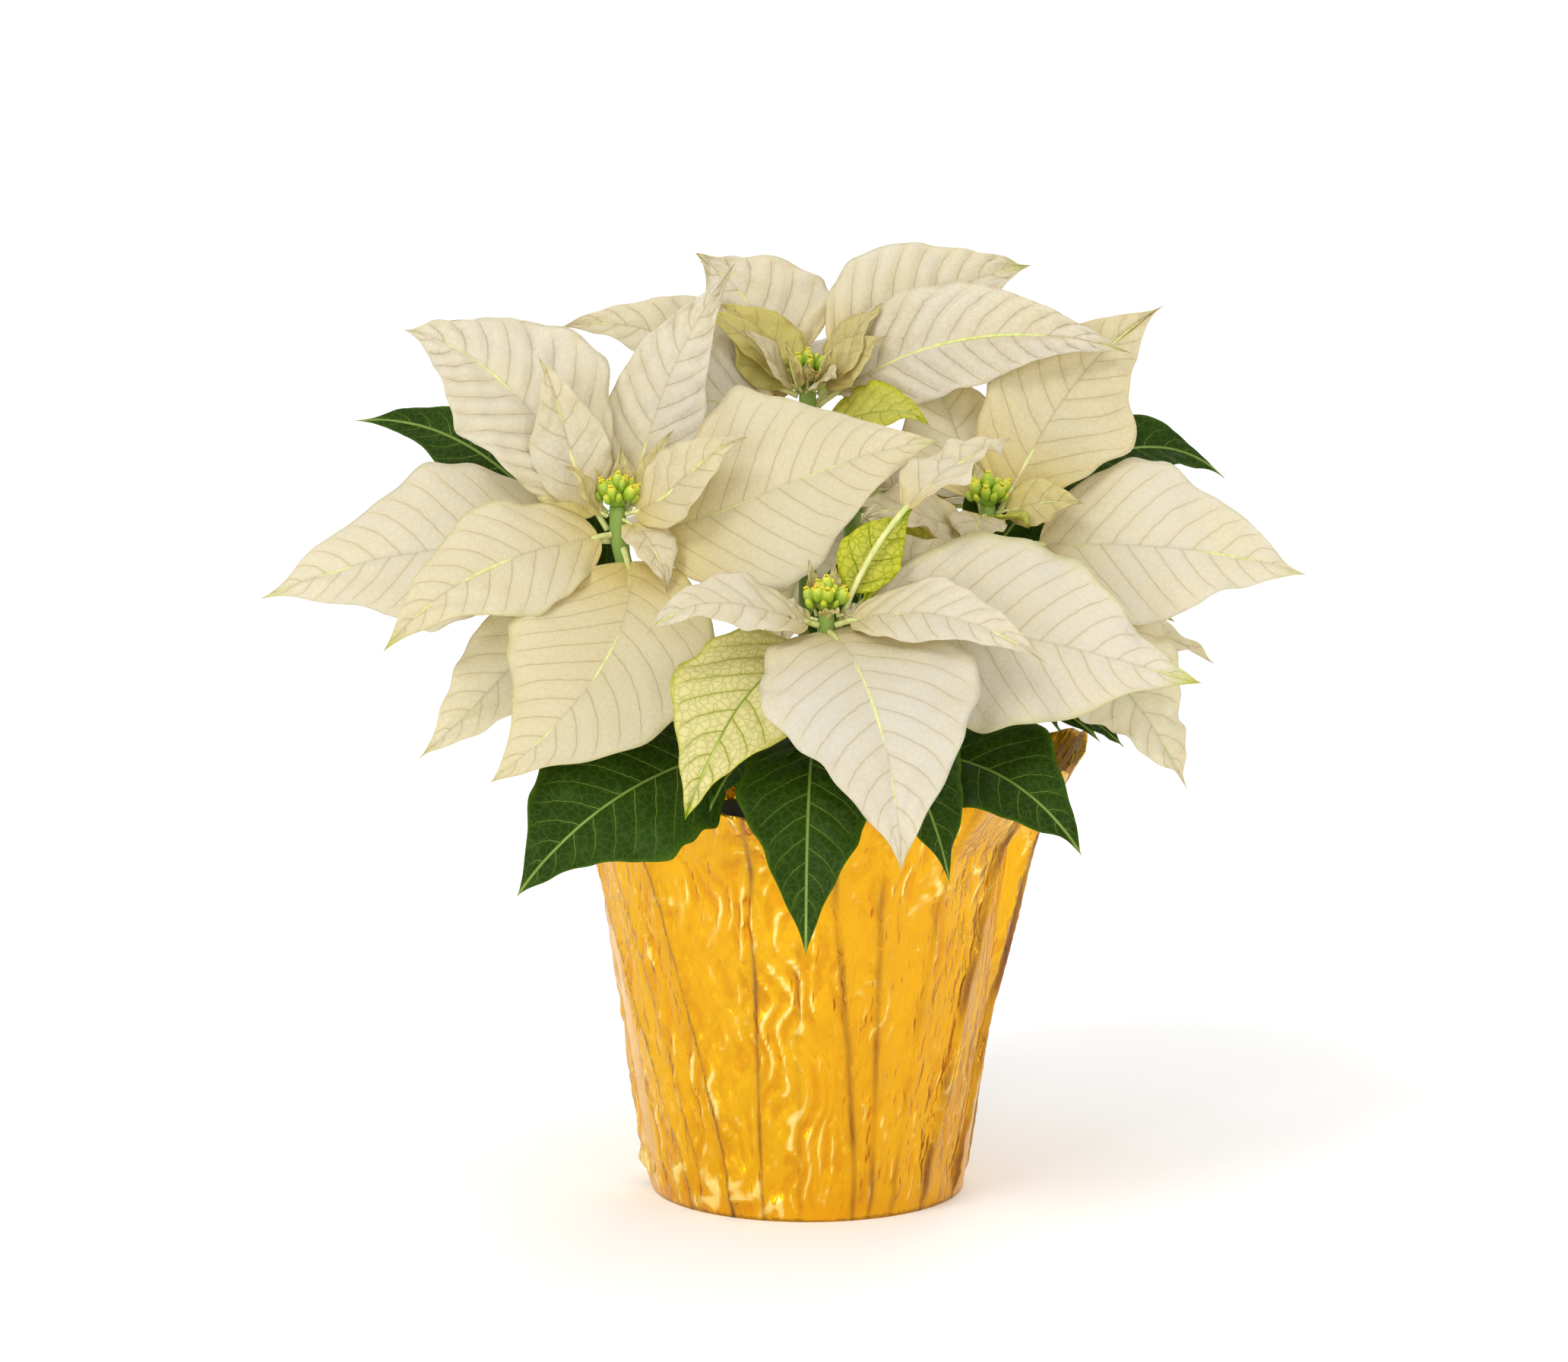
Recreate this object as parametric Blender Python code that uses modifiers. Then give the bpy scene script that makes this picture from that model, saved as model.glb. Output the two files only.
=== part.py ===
"""Potted poinsettia with cream bracts.

Its pieces are a foil wrap, a grower pot, soil, a branched stem, flower clusters, bracts and green leaves.
Lengths below are in millimetres and are turned into metres when the meshes are made.  The origin is the
middle of the foil's flat underside, +Z is up and the side with the large heart-shaped bract faces -Y.
"""
import math

import bmesh
import bpy
import numpy as np
from mathutils import Matrix, Vector

MM = 0.001
GAP = 0.3

# Foil wrap: height, radius, pleat depth and share of the wavy collar at each level of the outer skin.
FOIL_LEVELS = [
    (0.0, 46.0, 0.3, 0.0),
    (5.0, 47.2, 0.8, 0.0),
    (50.0, 54.0, 1.2, 0.0),
    (94.0, 61.4, 1.2, 0.0),
    (107.0, 64.5, 1.8, 0.0),
    (117.0, 71.5, 2.6, 0.5),
    (128.0, 80.0, 3.2, 1.0),
]
FOIL_SIDES = 52
FOIL_THICK = 0.6
PLEAT_SIDES = 4

# Collar edge: waves of (height, count round the pot, phase) and a dip at the front.
COLLAR_WAVES = [(3.5, 5, 0.6), (2.5, 2, 2.2), (2.0, 9, 0.0)]
COLLAR_DIP = 5.0
COLLAR_DIP_SPREAD = 0.5

# Grower pot: radius and height down the outside, over the rim and back down the inside.
POT_FLOOR_TOP = 2.7
POT_PROFILE = [
    (0.0, 0.9),
    (44.0, 0.9),
    (45.0, 3.0),
    (58.8, 96.0),
    (60.2, 97.0),
    (60.2, 105.0),
    (59.6, 106.0),
    (58.2, 106.0),
    (57.4, 96.0),
    (43.7, POT_FLOOR_TOP + 1.5),
    (42.6, POT_FLOOR_TOP),
    (0.0, POT_FLOOR_TOP),
]
POT_SIDES = 40
DRAIN_RADIUS = 4.0
DRAIN_CIRCLE = 28.0
DRAIN_COUNT = 4

# Soil: plug that fills the pot up to the watering space below its rim.
SOIL_PROFILE = [
    (0.0, POT_FLOOR_TOP + GAP),
    (42.0, POT_FLOOR_TOP + GAP),
    (56.6, 92.0),
    (48.0, 93.6),
    (24.0, 94.4),
    (0.0, 95.0),
]
SOIL_SIDES = 32

# Stem: trunk in the soil, then one branch for each flower cluster.
TRUNK_FOOT = 40.0
TRUNK_RADII = (5.0, 4.4)
FORK = Vector((0.0, 0.0, 112.0))
KNUCKLE_RADIUS = 5.2
BRANCH_RADII = (3.4, 2.2)
BRANCH_STEPS = 10
BRANCH_SPREAD = 0.35
BRANCH_LEAVE = 0.22
BRANCH_ARRIVE = 0.45
CLUSTERS = {
    "left": (-55.0, -20.0, 205.0),
    "front": (5.0, -56.0, 180.0),
    "right": (52.0, -10.0, 204.0),
    "crown": (0.0, 28.0, 236.0),
    "rear": (14.0, 60.0, 204.0),
}

# Flower cluster: a low cushion that carries a ring of small cups round a middle one.
CUSHION_RADIUS = 3.6
CUSHION_HALF_HEIGHT = 2.4
CUP_RADIUS = 2.1
CUP_HALF_LENGTH = 2.9
CUP_CIRCLE = 4.3
CUP_COUNT = 6
CUP_HEIGHTS = (4.5, 5.3)
MIDDLE_CUP_HEIGHT = 6.5
CLUSTER_TURN = 23.0

# Leaf: section sizes shared by every bract and green leaf.
STALK_RADIUS = 1.0
STALK_STATIONS = (0.0, 0.75)
LEAF_THICK = 0.8
EDGE_THINNING = 0.6
LEAF_FOLD = 7.0
RIB_PULL = 0.38
BASE_ROUNDNESS = 0.54
TAPER_START = 1.4
TIP_SHARPNESS = 1.42
BLADE_STATIONS = (0.02, 0.10, 0.22, 0.36, 0.52, 0.68, 0.83, 0.94)
BLADE_ACROSS = (-1.0, -0.5, 0.0, 0.5, 1.0)
RING_POINTS = 8

# Bracts and leaves of each branch. Columns: name, finish, drop of the stalk below the cluster, heading,
# reach and lift of the tip from there, rise at the stalk, fall at the tip, swing of the stalk, stalk length,
# blade width, roll about the midrib, crosswise bend, belly (place of the greatest width). Angles in degrees.
LEAVES = {
    "left": [
        ("bract_left_1", "bract_cream", 10, 175, 105, -18, -2, -24, 0, 13, 54, -50, 0, 0.42),
        ("bract_left_2", "bract_cream", 8, 213, 78, -28, -4, -45, 0, 4, 36, -48, 0, 0.4),
        ("bract_left_3", "bract_cream", 7, 160, 67, 56, 55, 10, -4, 12, 46, -47, 0, 0.5),
        ("bract_left_4", "bract_cream", 2, 170, 23, 45, 40, 60, -7, 4, 20, -45, -0.08, 0.38),
        ("bract_left_5", "bract_cream", 5, 32, 42, 73, 40, 45, 40, 6, 30, 46, 0, 0.38),
        ("bract_left_6", "bract_cream", 9, 350, 93, 30, 12, 8, 0, 8, 60, 58, 0, 0.42),
        ("bract_left_7", "bract_cream", 12, 237, 65, -59, -30, -36, 50, 6, 60, -24, 0, 0.48),
        ("bract_left_8", "bract_shade", 18, 194, 61, -53, -36, -38, 0, 12, 34, -40, 0, 0.45),
        ("leaf_left_1", "leaf_green", 44, 148, 110, 62, 50, -8, 0, 24, 34, -48, 0, 0.38),
        ("leaf_left_2", "leaf_green", 65, 161, 65, -15, 24, -56, 1, 14, 40, -5, 0, 0.38),
    ],
    "front": [
        ("bract_front_1", "bract_cream", 8, 354, 106, -11, 12, -14, 0, 8, 60, 60, 0, 0.45),
        ("bract_front_2", "bract_cream", 4, 332, 69, -6, 20, -30, 0, 5, 24, 38, 0, 0.38),
        ("bract_front_3", "bract_cream", 6, 289, 62, -58, -5, -84, 0, 4, 62, 8, 0, 0.4),
        ("bract_front_4", "bract_lime", 9, 229, 60, -43, -5, -60, 0, 6, 46, -16, 0, 0.38),
        ("bract_front_5", "bract_cream", 4, 213, 60, 2, 18, -38, 0, 4, 24, -36, 0, 0.38),
        ("bract_front_6", "bract_cream", 5, 20, 56, 52, 72, 12, -13, 42, 24, 14, 0.07, 0.38),
        ("leaf_front_1", "leaf_green", 39, 211, 99, -37, 0, -50, 3, 32, 54, -41, 0, 0.42),
        ("leaf_front_2", "leaf_green", 34, 266, 67, -55, 12, -85, -2, 14, 39, 0, 0, 0.4),
        ("leaf_front_3", "leaf_green", 28, 305, 61, -43, 10, -70, 0, 14, 34, 8, 0, 0.38),
        ("leaf_front_4", "leaf_green", 46, 323, 92, -19, 14, -52, -1, 22, 41, 34, 0.02, 0.45),
        ("leaf_front_5", "leaf_green", 26, 53, 32, 46, 30, 20, 0, 10, 32, 0, 0, 0.38),
    ],
    "right": [
        ("bract_right_1", "bract_cream", 4, 34, 64, 59, 54, 25, 5, 8, 42, 42, 0, 0.38),
        ("bract_right_2", "bract_cream", 3, 115, 33, 47, 67, 88, -1, 5, 38, -4, -0.03, 0.38),
        ("bract_right_3", "bract_cream", 11, 351, 93, -7, 0, -16, 1, 13, 55, 50, 0, 0.42),
        ("bract_right_4", "bract_lime", 22, 1, 58, -12, -6, -30, 0, 12, 24, 30, 0.01, 0.38),
        ("bract_right_5", "bract_cream", 6, 222, 51, 5, 0, -30, 0, 5, 26, -40, 0, 0.38),
        ("bract_right_6", "bract_lime", 11, 231, 57, -12, -19, -59, -4, 10, 28, -62, 0, 0.38),
        ("bract_right_7", "bract_shade", 22, 325, 72, -54, -18, -58, 0, 20, 44, 31, 0.01, 0.38),
        ("bract_right_8", "bract_shade", 20, 15, 73, -29, -4, -29, 3, 14, 36, 30, -0.07, 0.38),
        ("leaf_right_1", "leaf_green", 52, 347, 59, -17, 15, -40, 0, 12, 30, 20, 0, 0.38),
        ("leaf_right_2", "leaf_green", 34, 35, 99, 35, 71, -43, 16, 16, 40, 54, -0.1, 0.38),
    ],
    "crown": [
        ("bract_crown_1", "bract_cream", 4, 185, 73, 21, 23, -10, 0, 10, 30, -60, 0, 0.38),
        ("bract_crown_2", "bract_cream", 9, 208, 55, 3, 3, -21, 7, 8, 44, -52, 0, 0.38),
        ("bract_crown_3", "bract_cream", 3, 152, 38, 38, 48, 22, -14, 10, 46, -48, -0.05, 0.38),
        ("bract_crown_4", "bract_cream", 4, 17, 70, 37, 46, 8, 0, 11, 46, 60, -0.02, 0.38),
        ("bract_crown_5", "bract_cream", 7, 346, 97, 18, 38, -16, -3, 8, 37, 64, 0.04, 0.38),
        ("bract_crown_6", "bract_lime", 12, 315, 50, 3, 0, -31, -6, 5, 24, 45, 0.05, 0.38),
        ("bract_crown_7", "bract_cream", 6, 98, 62, 4, 40, -40, 0, 8, 46, 0, 0, 0.38),
        ("bract_crown_8", "bract_cream", 8, 60, 76, -8, 30, -25, 0, 8, 50, 10, 0, 0.38),
        ("bract_crown_9", "bract_cream", 9, 140, 76, -18, 30, -30, 0, 8, 50, -8, 0, 0.38),
        ("leaf_crown_1", "leaf_green", 70, 187, 35, 61, 30, 30, 0, 16, 34, 0, 0, 0.38),
        ("leaf_crown_2", "leaf_green", 92, 142, 92, -30, 20, -60, 0, 26, 42, -5, 0, 0.38),
    ],
    "rear": [
        ("bract_rear_1", "bract_cream", 6, 88, 72, -26, -1, -54, -2, 9, 54, -1, 0.01, 0.38),
        ("bract_rear_2", "bract_cream", 7, 40, 84, -14, 15, -40, 0, 8, 54, 10, 0, 0.38),
        ("bract_rear_3", "bract_cream", 8, 135, 84, -18, 17, -53, 0, 8, 54, -10, 0, 0.38),
        ("bract_rear_4", "bract_cream", 10, 350, 88, -16, 10, -36, -1, 9, 48, -1, 0, 0.38),
        ("bract_rear_5", "bract_cream", 11, 182, 92, -18, 6, -36, 0, 9, 50, 0, 0, 0.38),
        ("bract_rear_6", "bract_shade", 13, 65, 62, -48, -10, -70, 0, 9, 46, 0, 0, 0.38),
        ("bract_rear_7", "bract_shade", 15, 112, 62, -52, -13, -70, 0, 9, 46, 9, -0.01, 0.38),
        ("leaf_rear_1", "leaf_green", 52, 84, 56, -48, 22, -70, -2, 14, 44, 0, 0, 0.38),
        ("leaf_rear_2", "leaf_green", 60, 30, 84, -24, 20, -55, 0, 18, 42, 5, 0, 0.38),
    ],
}


def clear_scene():
    for item in list(bpy.data.objects):
        bpy.data.objects.remove(item, do_unlink=True)


def new_collection(name):
    group = bpy.data.collections.new(name)
    bpy.context.scene.collection.children.link(group)
    return group


def material(name, color, roughness, metallic=0.0):
    """Plain finish with one colour."""
    finish = bpy.data.materials.new(name)
    finish.use_nodes = True
    shader = finish.node_tree.nodes["Principled BSDF"]
    shader.inputs["Base Color"].default_value = (*color, 1.0)
    shader.inputs["Roughness"].default_value = roughness
    shader.inputs["Metallic"].default_value = metallic
    finish.diffuse_color = (*color, 1.0)
    return finish


def make_materials():
    return {
        "foil_gold": material("foil_gold", (0.83, 0.42, 0.06), 0.24, 1.0),
        "pot_plastic": material("pot_plastic", (0.045, 0.035, 0.03), 0.5),
        "soil": material("soil", (0.055, 0.032, 0.018), 0.95),
        "stem_green": material("stem_green", (0.16, 0.27, 0.07), 0.6),
        "cyathia_green": material("cyathia_green", (0.24, 0.4, 0.04), 0.45),
        "bract_cream": material("bract_cream", (0.8, 0.72, 0.52), 0.55),
        "bract_lime": material("bract_lime", (0.62, 0.64, 0.2), 0.55),
        "bract_shade": material("bract_shade", (0.6, 0.58, 0.42), 0.55),
        "leaf_green": material("leaf_green", (0.035, 0.1, 0.02), 0.45),
    }


def add_mesh(name, mesh, group, parent, finish, place=(0.0, 0.0, 0.0), turn=0.0):
    """Object at place (millimetres), turned about its own upright axis."""
    item = bpy.data.objects.new(name, mesh)
    item.location = Vector(place) * MM
    item.rotation_euler = (0.0, 0.0, math.radians(turn))
    item.parent = parent
    group.objects.link(item)
    mesh.materials.clear()
    if finish:
        mesh.materials.append(finish)
    return item


def bm_to_mesh(bm, name):
    """Finish a bmesh drawn in millimetres as a mesh in metres with faces outward."""
    bmesh.ops.recalc_face_normals(bm, faces=bm.faces)
    bmesh.ops.scale(bm, vec=(MM, MM, MM), verts=bm.verts)
    mesh = bpy.data.meshes.new(name)
    bm.to_mesh(mesh)
    bm.free()
    return mesh


def loft(name, rings, start, end):
    """Closed skin through rings of equal point count, brought to one point at each end."""
    bm = bmesh.new()
    loops = [[bm.verts.new(point) for point in ring] for ring in rings]
    first = bm.verts.new(start)
    last = bm.verts.new(end)
    count = len(loops[0])
    for j in range(count):
        k = (j + 1) % count
        for low, high in zip(loops, loops[1:]):
            bm.faces.new((low[j], low[k], high[k], high[j]))
        bm.faces.new((first, loops[0][k], loops[0][j]))
        bm.faces.new((last, loops[-1][j], loops[-1][k]))
    return bm_to_mesh(bm, name)


def turned_solid(name, profile, sides):
    """Round solid from a profile of (radius, height), by a Screw about the upright axis."""
    bm = bmesh.new()
    points = [bm.verts.new((r * MM, 0.0, z * MM)) for r, z in profile]
    for low, high in zip(points, points[1:]):
        bm.edges.new((low, high))
    outline = bpy.data.meshes.new(name + "_profile")
    bm.to_mesh(outline)
    bm.free()
    holder = bpy.data.objects.new(name + "_profile", outline)
    bpy.context.scene.collection.objects.link(holder)
    screw = holder.modifiers.new("turn", "SCREW")
    screw.steps = sides
    screw.render_steps = sides
    screw.use_merge_vertices = True
    screw.merge_threshold = 0.00005
    return baked(holder, name)


def baked(holder, name):
    """Mesh of an object with its modifiers or its curve bevel worked in; the object is then removed."""
    graph = bpy.context.evaluated_depsgraph_get()
    graph.update()
    mesh = bpy.data.meshes.new_from_object(holder.evaluated_get(graph))
    mesh.name = name
    bpy.data.objects.remove(holder, do_unlink=True)
    bm = bmesh.new()
    bm.from_mesh(mesh)
    bmesh.ops.remove_doubles(bm, verts=bm.verts, dist=0.00002)
    bmesh.ops.recalc_face_normals(bm, faces=bm.faces)
    bm.to_mesh(mesh)
    bm.free()
    return mesh


def add_cutter(name, mesh, cutters):
    tool = bpy.data.objects.new(name, mesh)
    tool.hide_render = True
    tool.display_type = "WIRE"
    cutters.objects.link(tool)
    return tool


def boolean(item, tool, operation):
    step = item.modifiers.new(operation.lower() + "_" + tool.name, "BOOLEAN")
    step.operation = operation
    step.solver = "EXACT"
    step.object = tool


def cylinder_mesh(name, radius, bottom, top, sides=16):
    bm = bmesh.new()
    shift = Matrix.Translation((0.0, 0.0, (bottom + top) / 2))
    bmesh.ops.create_cone(
        bm, cap_ends=True, segments=sides, radius1=radius, radius2=radius, depth=top - bottom, matrix=shift
    )
    return bm_to_mesh(bm, name)


def collar_rise(angle):
    """Height of the ragged collar edge above its mean, by angle round the pot."""
    waves = sum(height * math.sin(count * angle + phase) for height, count, phase in COLLAR_WAVES)
    front = math.exp(-(((angle + math.pi / 2) / COLLAR_DIP_SPREAD) ** 2))
    return waves - COLLAR_DIP * front


def foil_ring(level, inward, lift):
    height, radius, pleat, collar = level
    ring = []
    for j in range(FOIL_SIDES):
        angle = 2 * math.pi * j / FOIL_SIDES
        if angle > math.pi:
            angle -= 2 * math.pi
        ridge = 0.5 if j % PLEAT_SIDES < PLEAT_SIDES / 2 else -0.5
        r = radius + ridge * pleat - inward
        ring.append((r * math.cos(angle), r * math.sin(angle), height + collar * collar_rise(angle) + lift))
    return ring


def build_foil(group, parent, finish):
    outside = [foil_ring(level, 0.0, 0.0) for level in FOIL_LEVELS]
    inside = [foil_ring(level, FOIL_THICK, FOIL_THICK if level[0] == 0.0 else 0.0) for level in FOIL_LEVELS]
    mesh = loft("foil_wrap", outside + inside[::-1], (0.0, 0.0, 0.0), (0.0, 0.0, FOIL_THICK))
    add_mesh("foil_wrap", mesh, group, parent, finish)


def build_pot(group, cutters, parent, finish):
    pot = add_mesh("grower_pot", turned_solid("grower_pot", POT_PROFILE, POT_SIDES), group, parent, finish)
    for k in range(DRAIN_COUNT):
        angle = 2 * math.pi * (k + 0.5) / DRAIN_COUNT
        drill = cylinder_mesh("drain", DRAIN_RADIUS, -2.0, POT_FLOOR_TOP + 2.0)
        tool = add_cutter(f"drain_{k + 1}", drill, cutters)
        tool.location = (DRAIN_CIRCLE * math.cos(angle) * MM, DRAIN_CIRCLE * math.sin(angle) * MM, 0.0)
        boolean(pot, tool, "DIFFERENCE")


def build_soil(group, cutters, parent, finish):
    plug = turned_solid("potting_soil", SOIL_PROFILE, SOIL_SIDES)
    soil = add_mesh("potting_soil", plug, group, parent, finish)
    hole = cylinder_mesh("trunk_hole", TRUNK_RADII[0] + GAP, TRUNK_FOOT - GAP, SOIL_PROFILE[-1][1] + 5.0)
    boolean(soil, add_cutter("trunk_hole", hole, cutters), "DIFFERENCE")


def branch_controls(cluster):
    """Four control points of the branch that carries a flower cluster."""
    top = Vector(CLUSTERS[cluster])
    side = top - FORK
    low = FORK + Vector((side.x * BRANCH_SPREAD, side.y * BRANCH_SPREAD, side.z * BRANCH_LEAVE))
    high = top - Vector((0.0, 0.0, side.z * BRANCH_ARRIVE))
    return FORK, low, high, top


def bezier_point(controls, t):
    a, b, c, d = controls
    s = 1 - t
    return a * s**3 + b * (3 * s * s * t) + c * (3 * s * t * t) + d * t**3


def bezier_slope(controls, t):
    a, b, c, d = controls
    s = 1 - t
    return (b - a) * (3 * s * s) + (c - b) * (6 * s * t) + (d - c) * (3 * t * t)


def rod(name, points, radii):
    """Round bar along points, tapered from the first radius to the second, with closed ends."""
    curve = bpy.data.curves.new(name, "CURVE")
    curve.dimensions = "3D"
    curve.bevel_depth = MM
    curve.bevel_resolution = 2
    curve.use_fill_caps = True
    line = curve.splines.new("POLY")
    line.points.add(len(points) - 1)
    for k, point in enumerate(points):
        t = k / (len(points) - 1)
        line.points[k].co = (*(Vector(point) * MM), 1.0)
        line.points[k].radius = radii[0] + (radii[1] - radii[0]) * t
    holder = bpy.data.objects.new(name, curve)
    bpy.context.scene.collection.objects.link(holder)
    return baked(holder, name)


def build_stem(group, cutters, parent, finish):
    trunk = [(0.0, 0.0, TRUNK_FOOT), (0.0, 0.0, (TRUNK_FOOT + FORK.z) / 2), tuple(FORK)]
    stem = add_mesh("stem", rod("stem", trunk, TRUNK_RADII), group, parent, finish)
    bm = bmesh.new()
    bmesh.ops.create_icosphere(bm, subdivisions=2, radius=KNUCKLE_RADIUS, matrix=Matrix.Translation(FORK))
    boolean(stem, add_cutter("knuckle", bm_to_mesh(bm, "knuckle"), cutters), "UNION")
    for cluster in CLUSTERS:
        controls = branch_controls(cluster)
        points = [bezier_point(controls, k / BRANCH_STEPS) for k in range(BRANCH_STEPS + 1)]
        branch = add_cutter(f"branch_{cluster}", rod(f"branch_{cluster}", points, BRANCH_RADII), cutters)
        boolean(stem, branch, "UNION")


def egg(bm, centre, radius, length):
    """Small upright egg, added to a bmesh."""
    shape = Matrix.Translation(centre) @ Matrix.Diagonal((radius, radius, length, 1.0))
    bmesh.ops.create_uvsphere(bm, u_segments=8, v_segments=5, radius=1.0, matrix=shape)


def build_cluster(name, place, turn, group, cutters, parent, finish):
    bm = bmesh.new()
    egg(bm, (0.0, 0.0, GAP + CUSHION_HALF_HEIGHT), CUSHION_RADIUS, CUSHION_HALF_HEIGHT)
    cluster = add_mesh(name, bm_to_mesh(bm, name), group, parent, finish, place, turn)
    spots = [(0.0, 0.0, MIDDLE_CUP_HEIGHT)]
    for k in range(CUP_COUNT):
        angle = 2 * math.pi * k / CUP_COUNT
        spots.append((CUP_CIRCLE * math.cos(angle), CUP_CIRCLE * math.sin(angle), CUP_HEIGHTS[k % 2]))
    for k, spot in enumerate(spots):
        bm = bmesh.new()
        egg(bm, spot, CUP_RADIUS, CUP_HALF_LENGTH)
        cup = add_cutter(f"{name}_cup_{k}", bm_to_mesh(bm, "cup"), cutters)
        cup.location = Vector(place) * MM
        cup.rotation_euler = (0.0, 0.0, math.radians(turn))
        boolean(cluster, cup, "UNION")


def heading_vector(heading, pitch):
    """Unit vector: heading turns from +X towards +Y, pitch lifts it."""
    h, p = math.radians(heading), math.radians(pitch)
    return Vector((math.cos(h) * math.cos(p), math.sin(h) * math.cos(p), math.sin(p)))


def seat_on_branch(cluster, drop):
    """Branch axis point that far below the cluster, with the branch radius and direction there."""
    controls = branch_controls(cluster)
    height = CLUSTERS[cluster][2] - drop
    low, high = 0.0, 1.0
    for _ in range(30):
        middle = (low + high) / 2
        if bezier_point(controls, middle).z < height:
            low = middle
        else:
            high = middle
    radius = BRANCH_RADII[0] + (BRANCH_RADII[1] - BRANCH_RADII[0]) * low
    return bezier_point(controls, low), radius, bezier_slope(controls, low).normalized()


def foot_distance(radius, along, heading, rise):
    """How far from the branch axis a stalk starts, so that it all but touches the branch."""
    lean = heading_vector(heading, 0.0).dot(along)
    surface = radius / math.sqrt(1 - lean**2)
    rise = math.radians(rise)
    return surface + GAP + STALK_RADIUS * abs(math.sin(rise) + lean / along.z * math.cos(rise))


def midrib(foot, reach, lift, rise, fall, swing):
    """Control points of the midrib, leaving along +X: it starts at its rise and ends at its fall."""
    start = heading_vector(swing, 0.0) * foot
    end = Vector((reach, 0.0, lift))
    pull = (end - start).length * RIB_PULL
    return start, start + heading_vector(swing, rise) * pull, end - heading_vector(-swing, fall) * pull, end


def even_steps(controls, count=60):
    """Table of curve length against curve parameter."""
    points = [bezier_point(controls, k / count) for k in range(count + 1)]
    lengths = np.concatenate([[0.0], np.cumsum([(b - a).length for a, b in zip(points, points[1:])])])
    return lengths, np.linspace(0.0, 1.0, count + 1)


def half_width(station, belly):
    """Half the blade's width, from 0 to 1: round at the base, drawn out to a point at the tip."""
    if station < belly:
        return (1 - (1 - station / belly) ** 2) ** BASE_ROUNDNESS
    return (1 - ((station - belly) / (1 - belly)) ** TAPER_START) ** TIP_SHARPNESS


def leaf_frame(controls, t, roll):
    """Point, forward, left and up of the leaf at curve parameter t, rolled about the midrib."""
    forward = bezier_slope(controls, t).normalized()
    up = forward.cross(Vector((0.0, 1.0, 0.0))).normalized()
    left = up.cross(forward)
    r = math.radians(roll)
    return (
        bezier_point(controls, t),
        forward,
        left * math.cos(r) + up * math.sin(r),
        up * math.cos(r) - left * math.sin(r),
    )


def leaf_mesh(name, foot, reach, lift, rise, fall, swing, stalk, width, roll, bend, belly):
    """Stalk and blade as one closed loft; the stalk's round rings and the blade's flat ones have equal points."""
    controls = midrib(foot, reach, lift, rise, fall, swing)
    lengths, steps = even_steps(controls)
    total = lengths[-1]
    stalk = min(stalk, total * 0.5)
    rings = []
    for share in STALK_STATIONS:
        t = float(np.interp(stalk * share, lengths, steps))
        point, forward, left, up = leaf_frame(controls, t, roll * share)
        ring = []
        for k in range(RING_POINTS):
            a = math.pi - 2 * math.pi * k / RING_POINTS
            ring.append(point + (left * math.cos(a) + up * math.sin(a)) * STALK_RADIUS)
        rings.append(ring)
    half = width / 2
    fold = math.radians(LEAF_FOLD)
    around = [(v, 0.5) for v in BLADE_ACROSS] + [(v, -0.5) for v in BLADE_ACROSS[3:0:-1]]
    for station in BLADE_STATIONS:
        t = float(np.interp(stalk + (total - stalk) * station, lengths, steps))
        point, forward, left, up = leaf_frame(controls, t, roll)
        reach_out = half_width(station, belly) * half
        ring = []
        for v, face in around:
            side = v * reach_out
            skin = 0.0 if abs(v) == 1.0 else face * LEAF_THICK * (1 - EDGE_THINNING * abs(v))
            raised = abs(side) * math.sin(fold) + bend * side * side / half + skin
            ring.append(point + left * (side * math.cos(fold)) + up * raised)
        rings.append(ring)
    return loft(name, rings, sum(rings[0], Vector()) / RING_POINTS, bezier_point(controls, 1.0))


def build_leaves(group, parent, finishes):
    for cluster, rows in LEAVES.items():
        for name, finish, drop, heading, reach, lift, rise, fall, swing, stalk, width, roll, bend, belly in rows:
            seat, radius, along = seat_on_branch(cluster, drop)
            foot = foot_distance(radius, along, heading + swing, rise)
            mesh = leaf_mesh(name, foot, reach, lift, rise, fall, swing, stalk, width, roll, bend, belly)
            add_mesh(name, mesh, group, parent, finishes[finish], seat, heading)


def build():
    clear_scene()
    group = new_collection("poinsettia")
    cutters = new_collection("poinsettia_cutters")
    finishes = make_materials()
    parent = bpy.data.objects.new("poinsettia_base", None)
    group.objects.link(parent)
    build_foil(group, parent, finishes["foil_gold"])
    build_pot(group, cutters, parent, finishes["pot_plastic"])
    build_soil(group, cutters, parent, finishes["soil"])
    build_stem(group, cutters, parent, finishes["stem_green"])
    for k, (cluster, place) in enumerate(CLUSTERS.items()):
        turn = CLUSTER_TURN * k
        build_cluster(f"cyathia_{cluster}", place, turn, group, cutters, parent, finishes["cyathia_green"])
    build_leaves(group, parent, finishes)


build()
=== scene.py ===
# %% [markdown]
# # A potted poinsettia with cream bracts
#
# What looks like a flower on a poinsettia is a whorl of coloured leaves, called bracts, round a knot of
# tiny green cups. This lesson dresses the solid model of such a plant: each plain solid is replaced by a
# finely shaped piece that stands in the same place. Leaves come first, because they are most of what one
# sees, then the flower cups, the stem, the crumpled foil round the pot, the pot and its soil, and at last
# the light.

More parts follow.
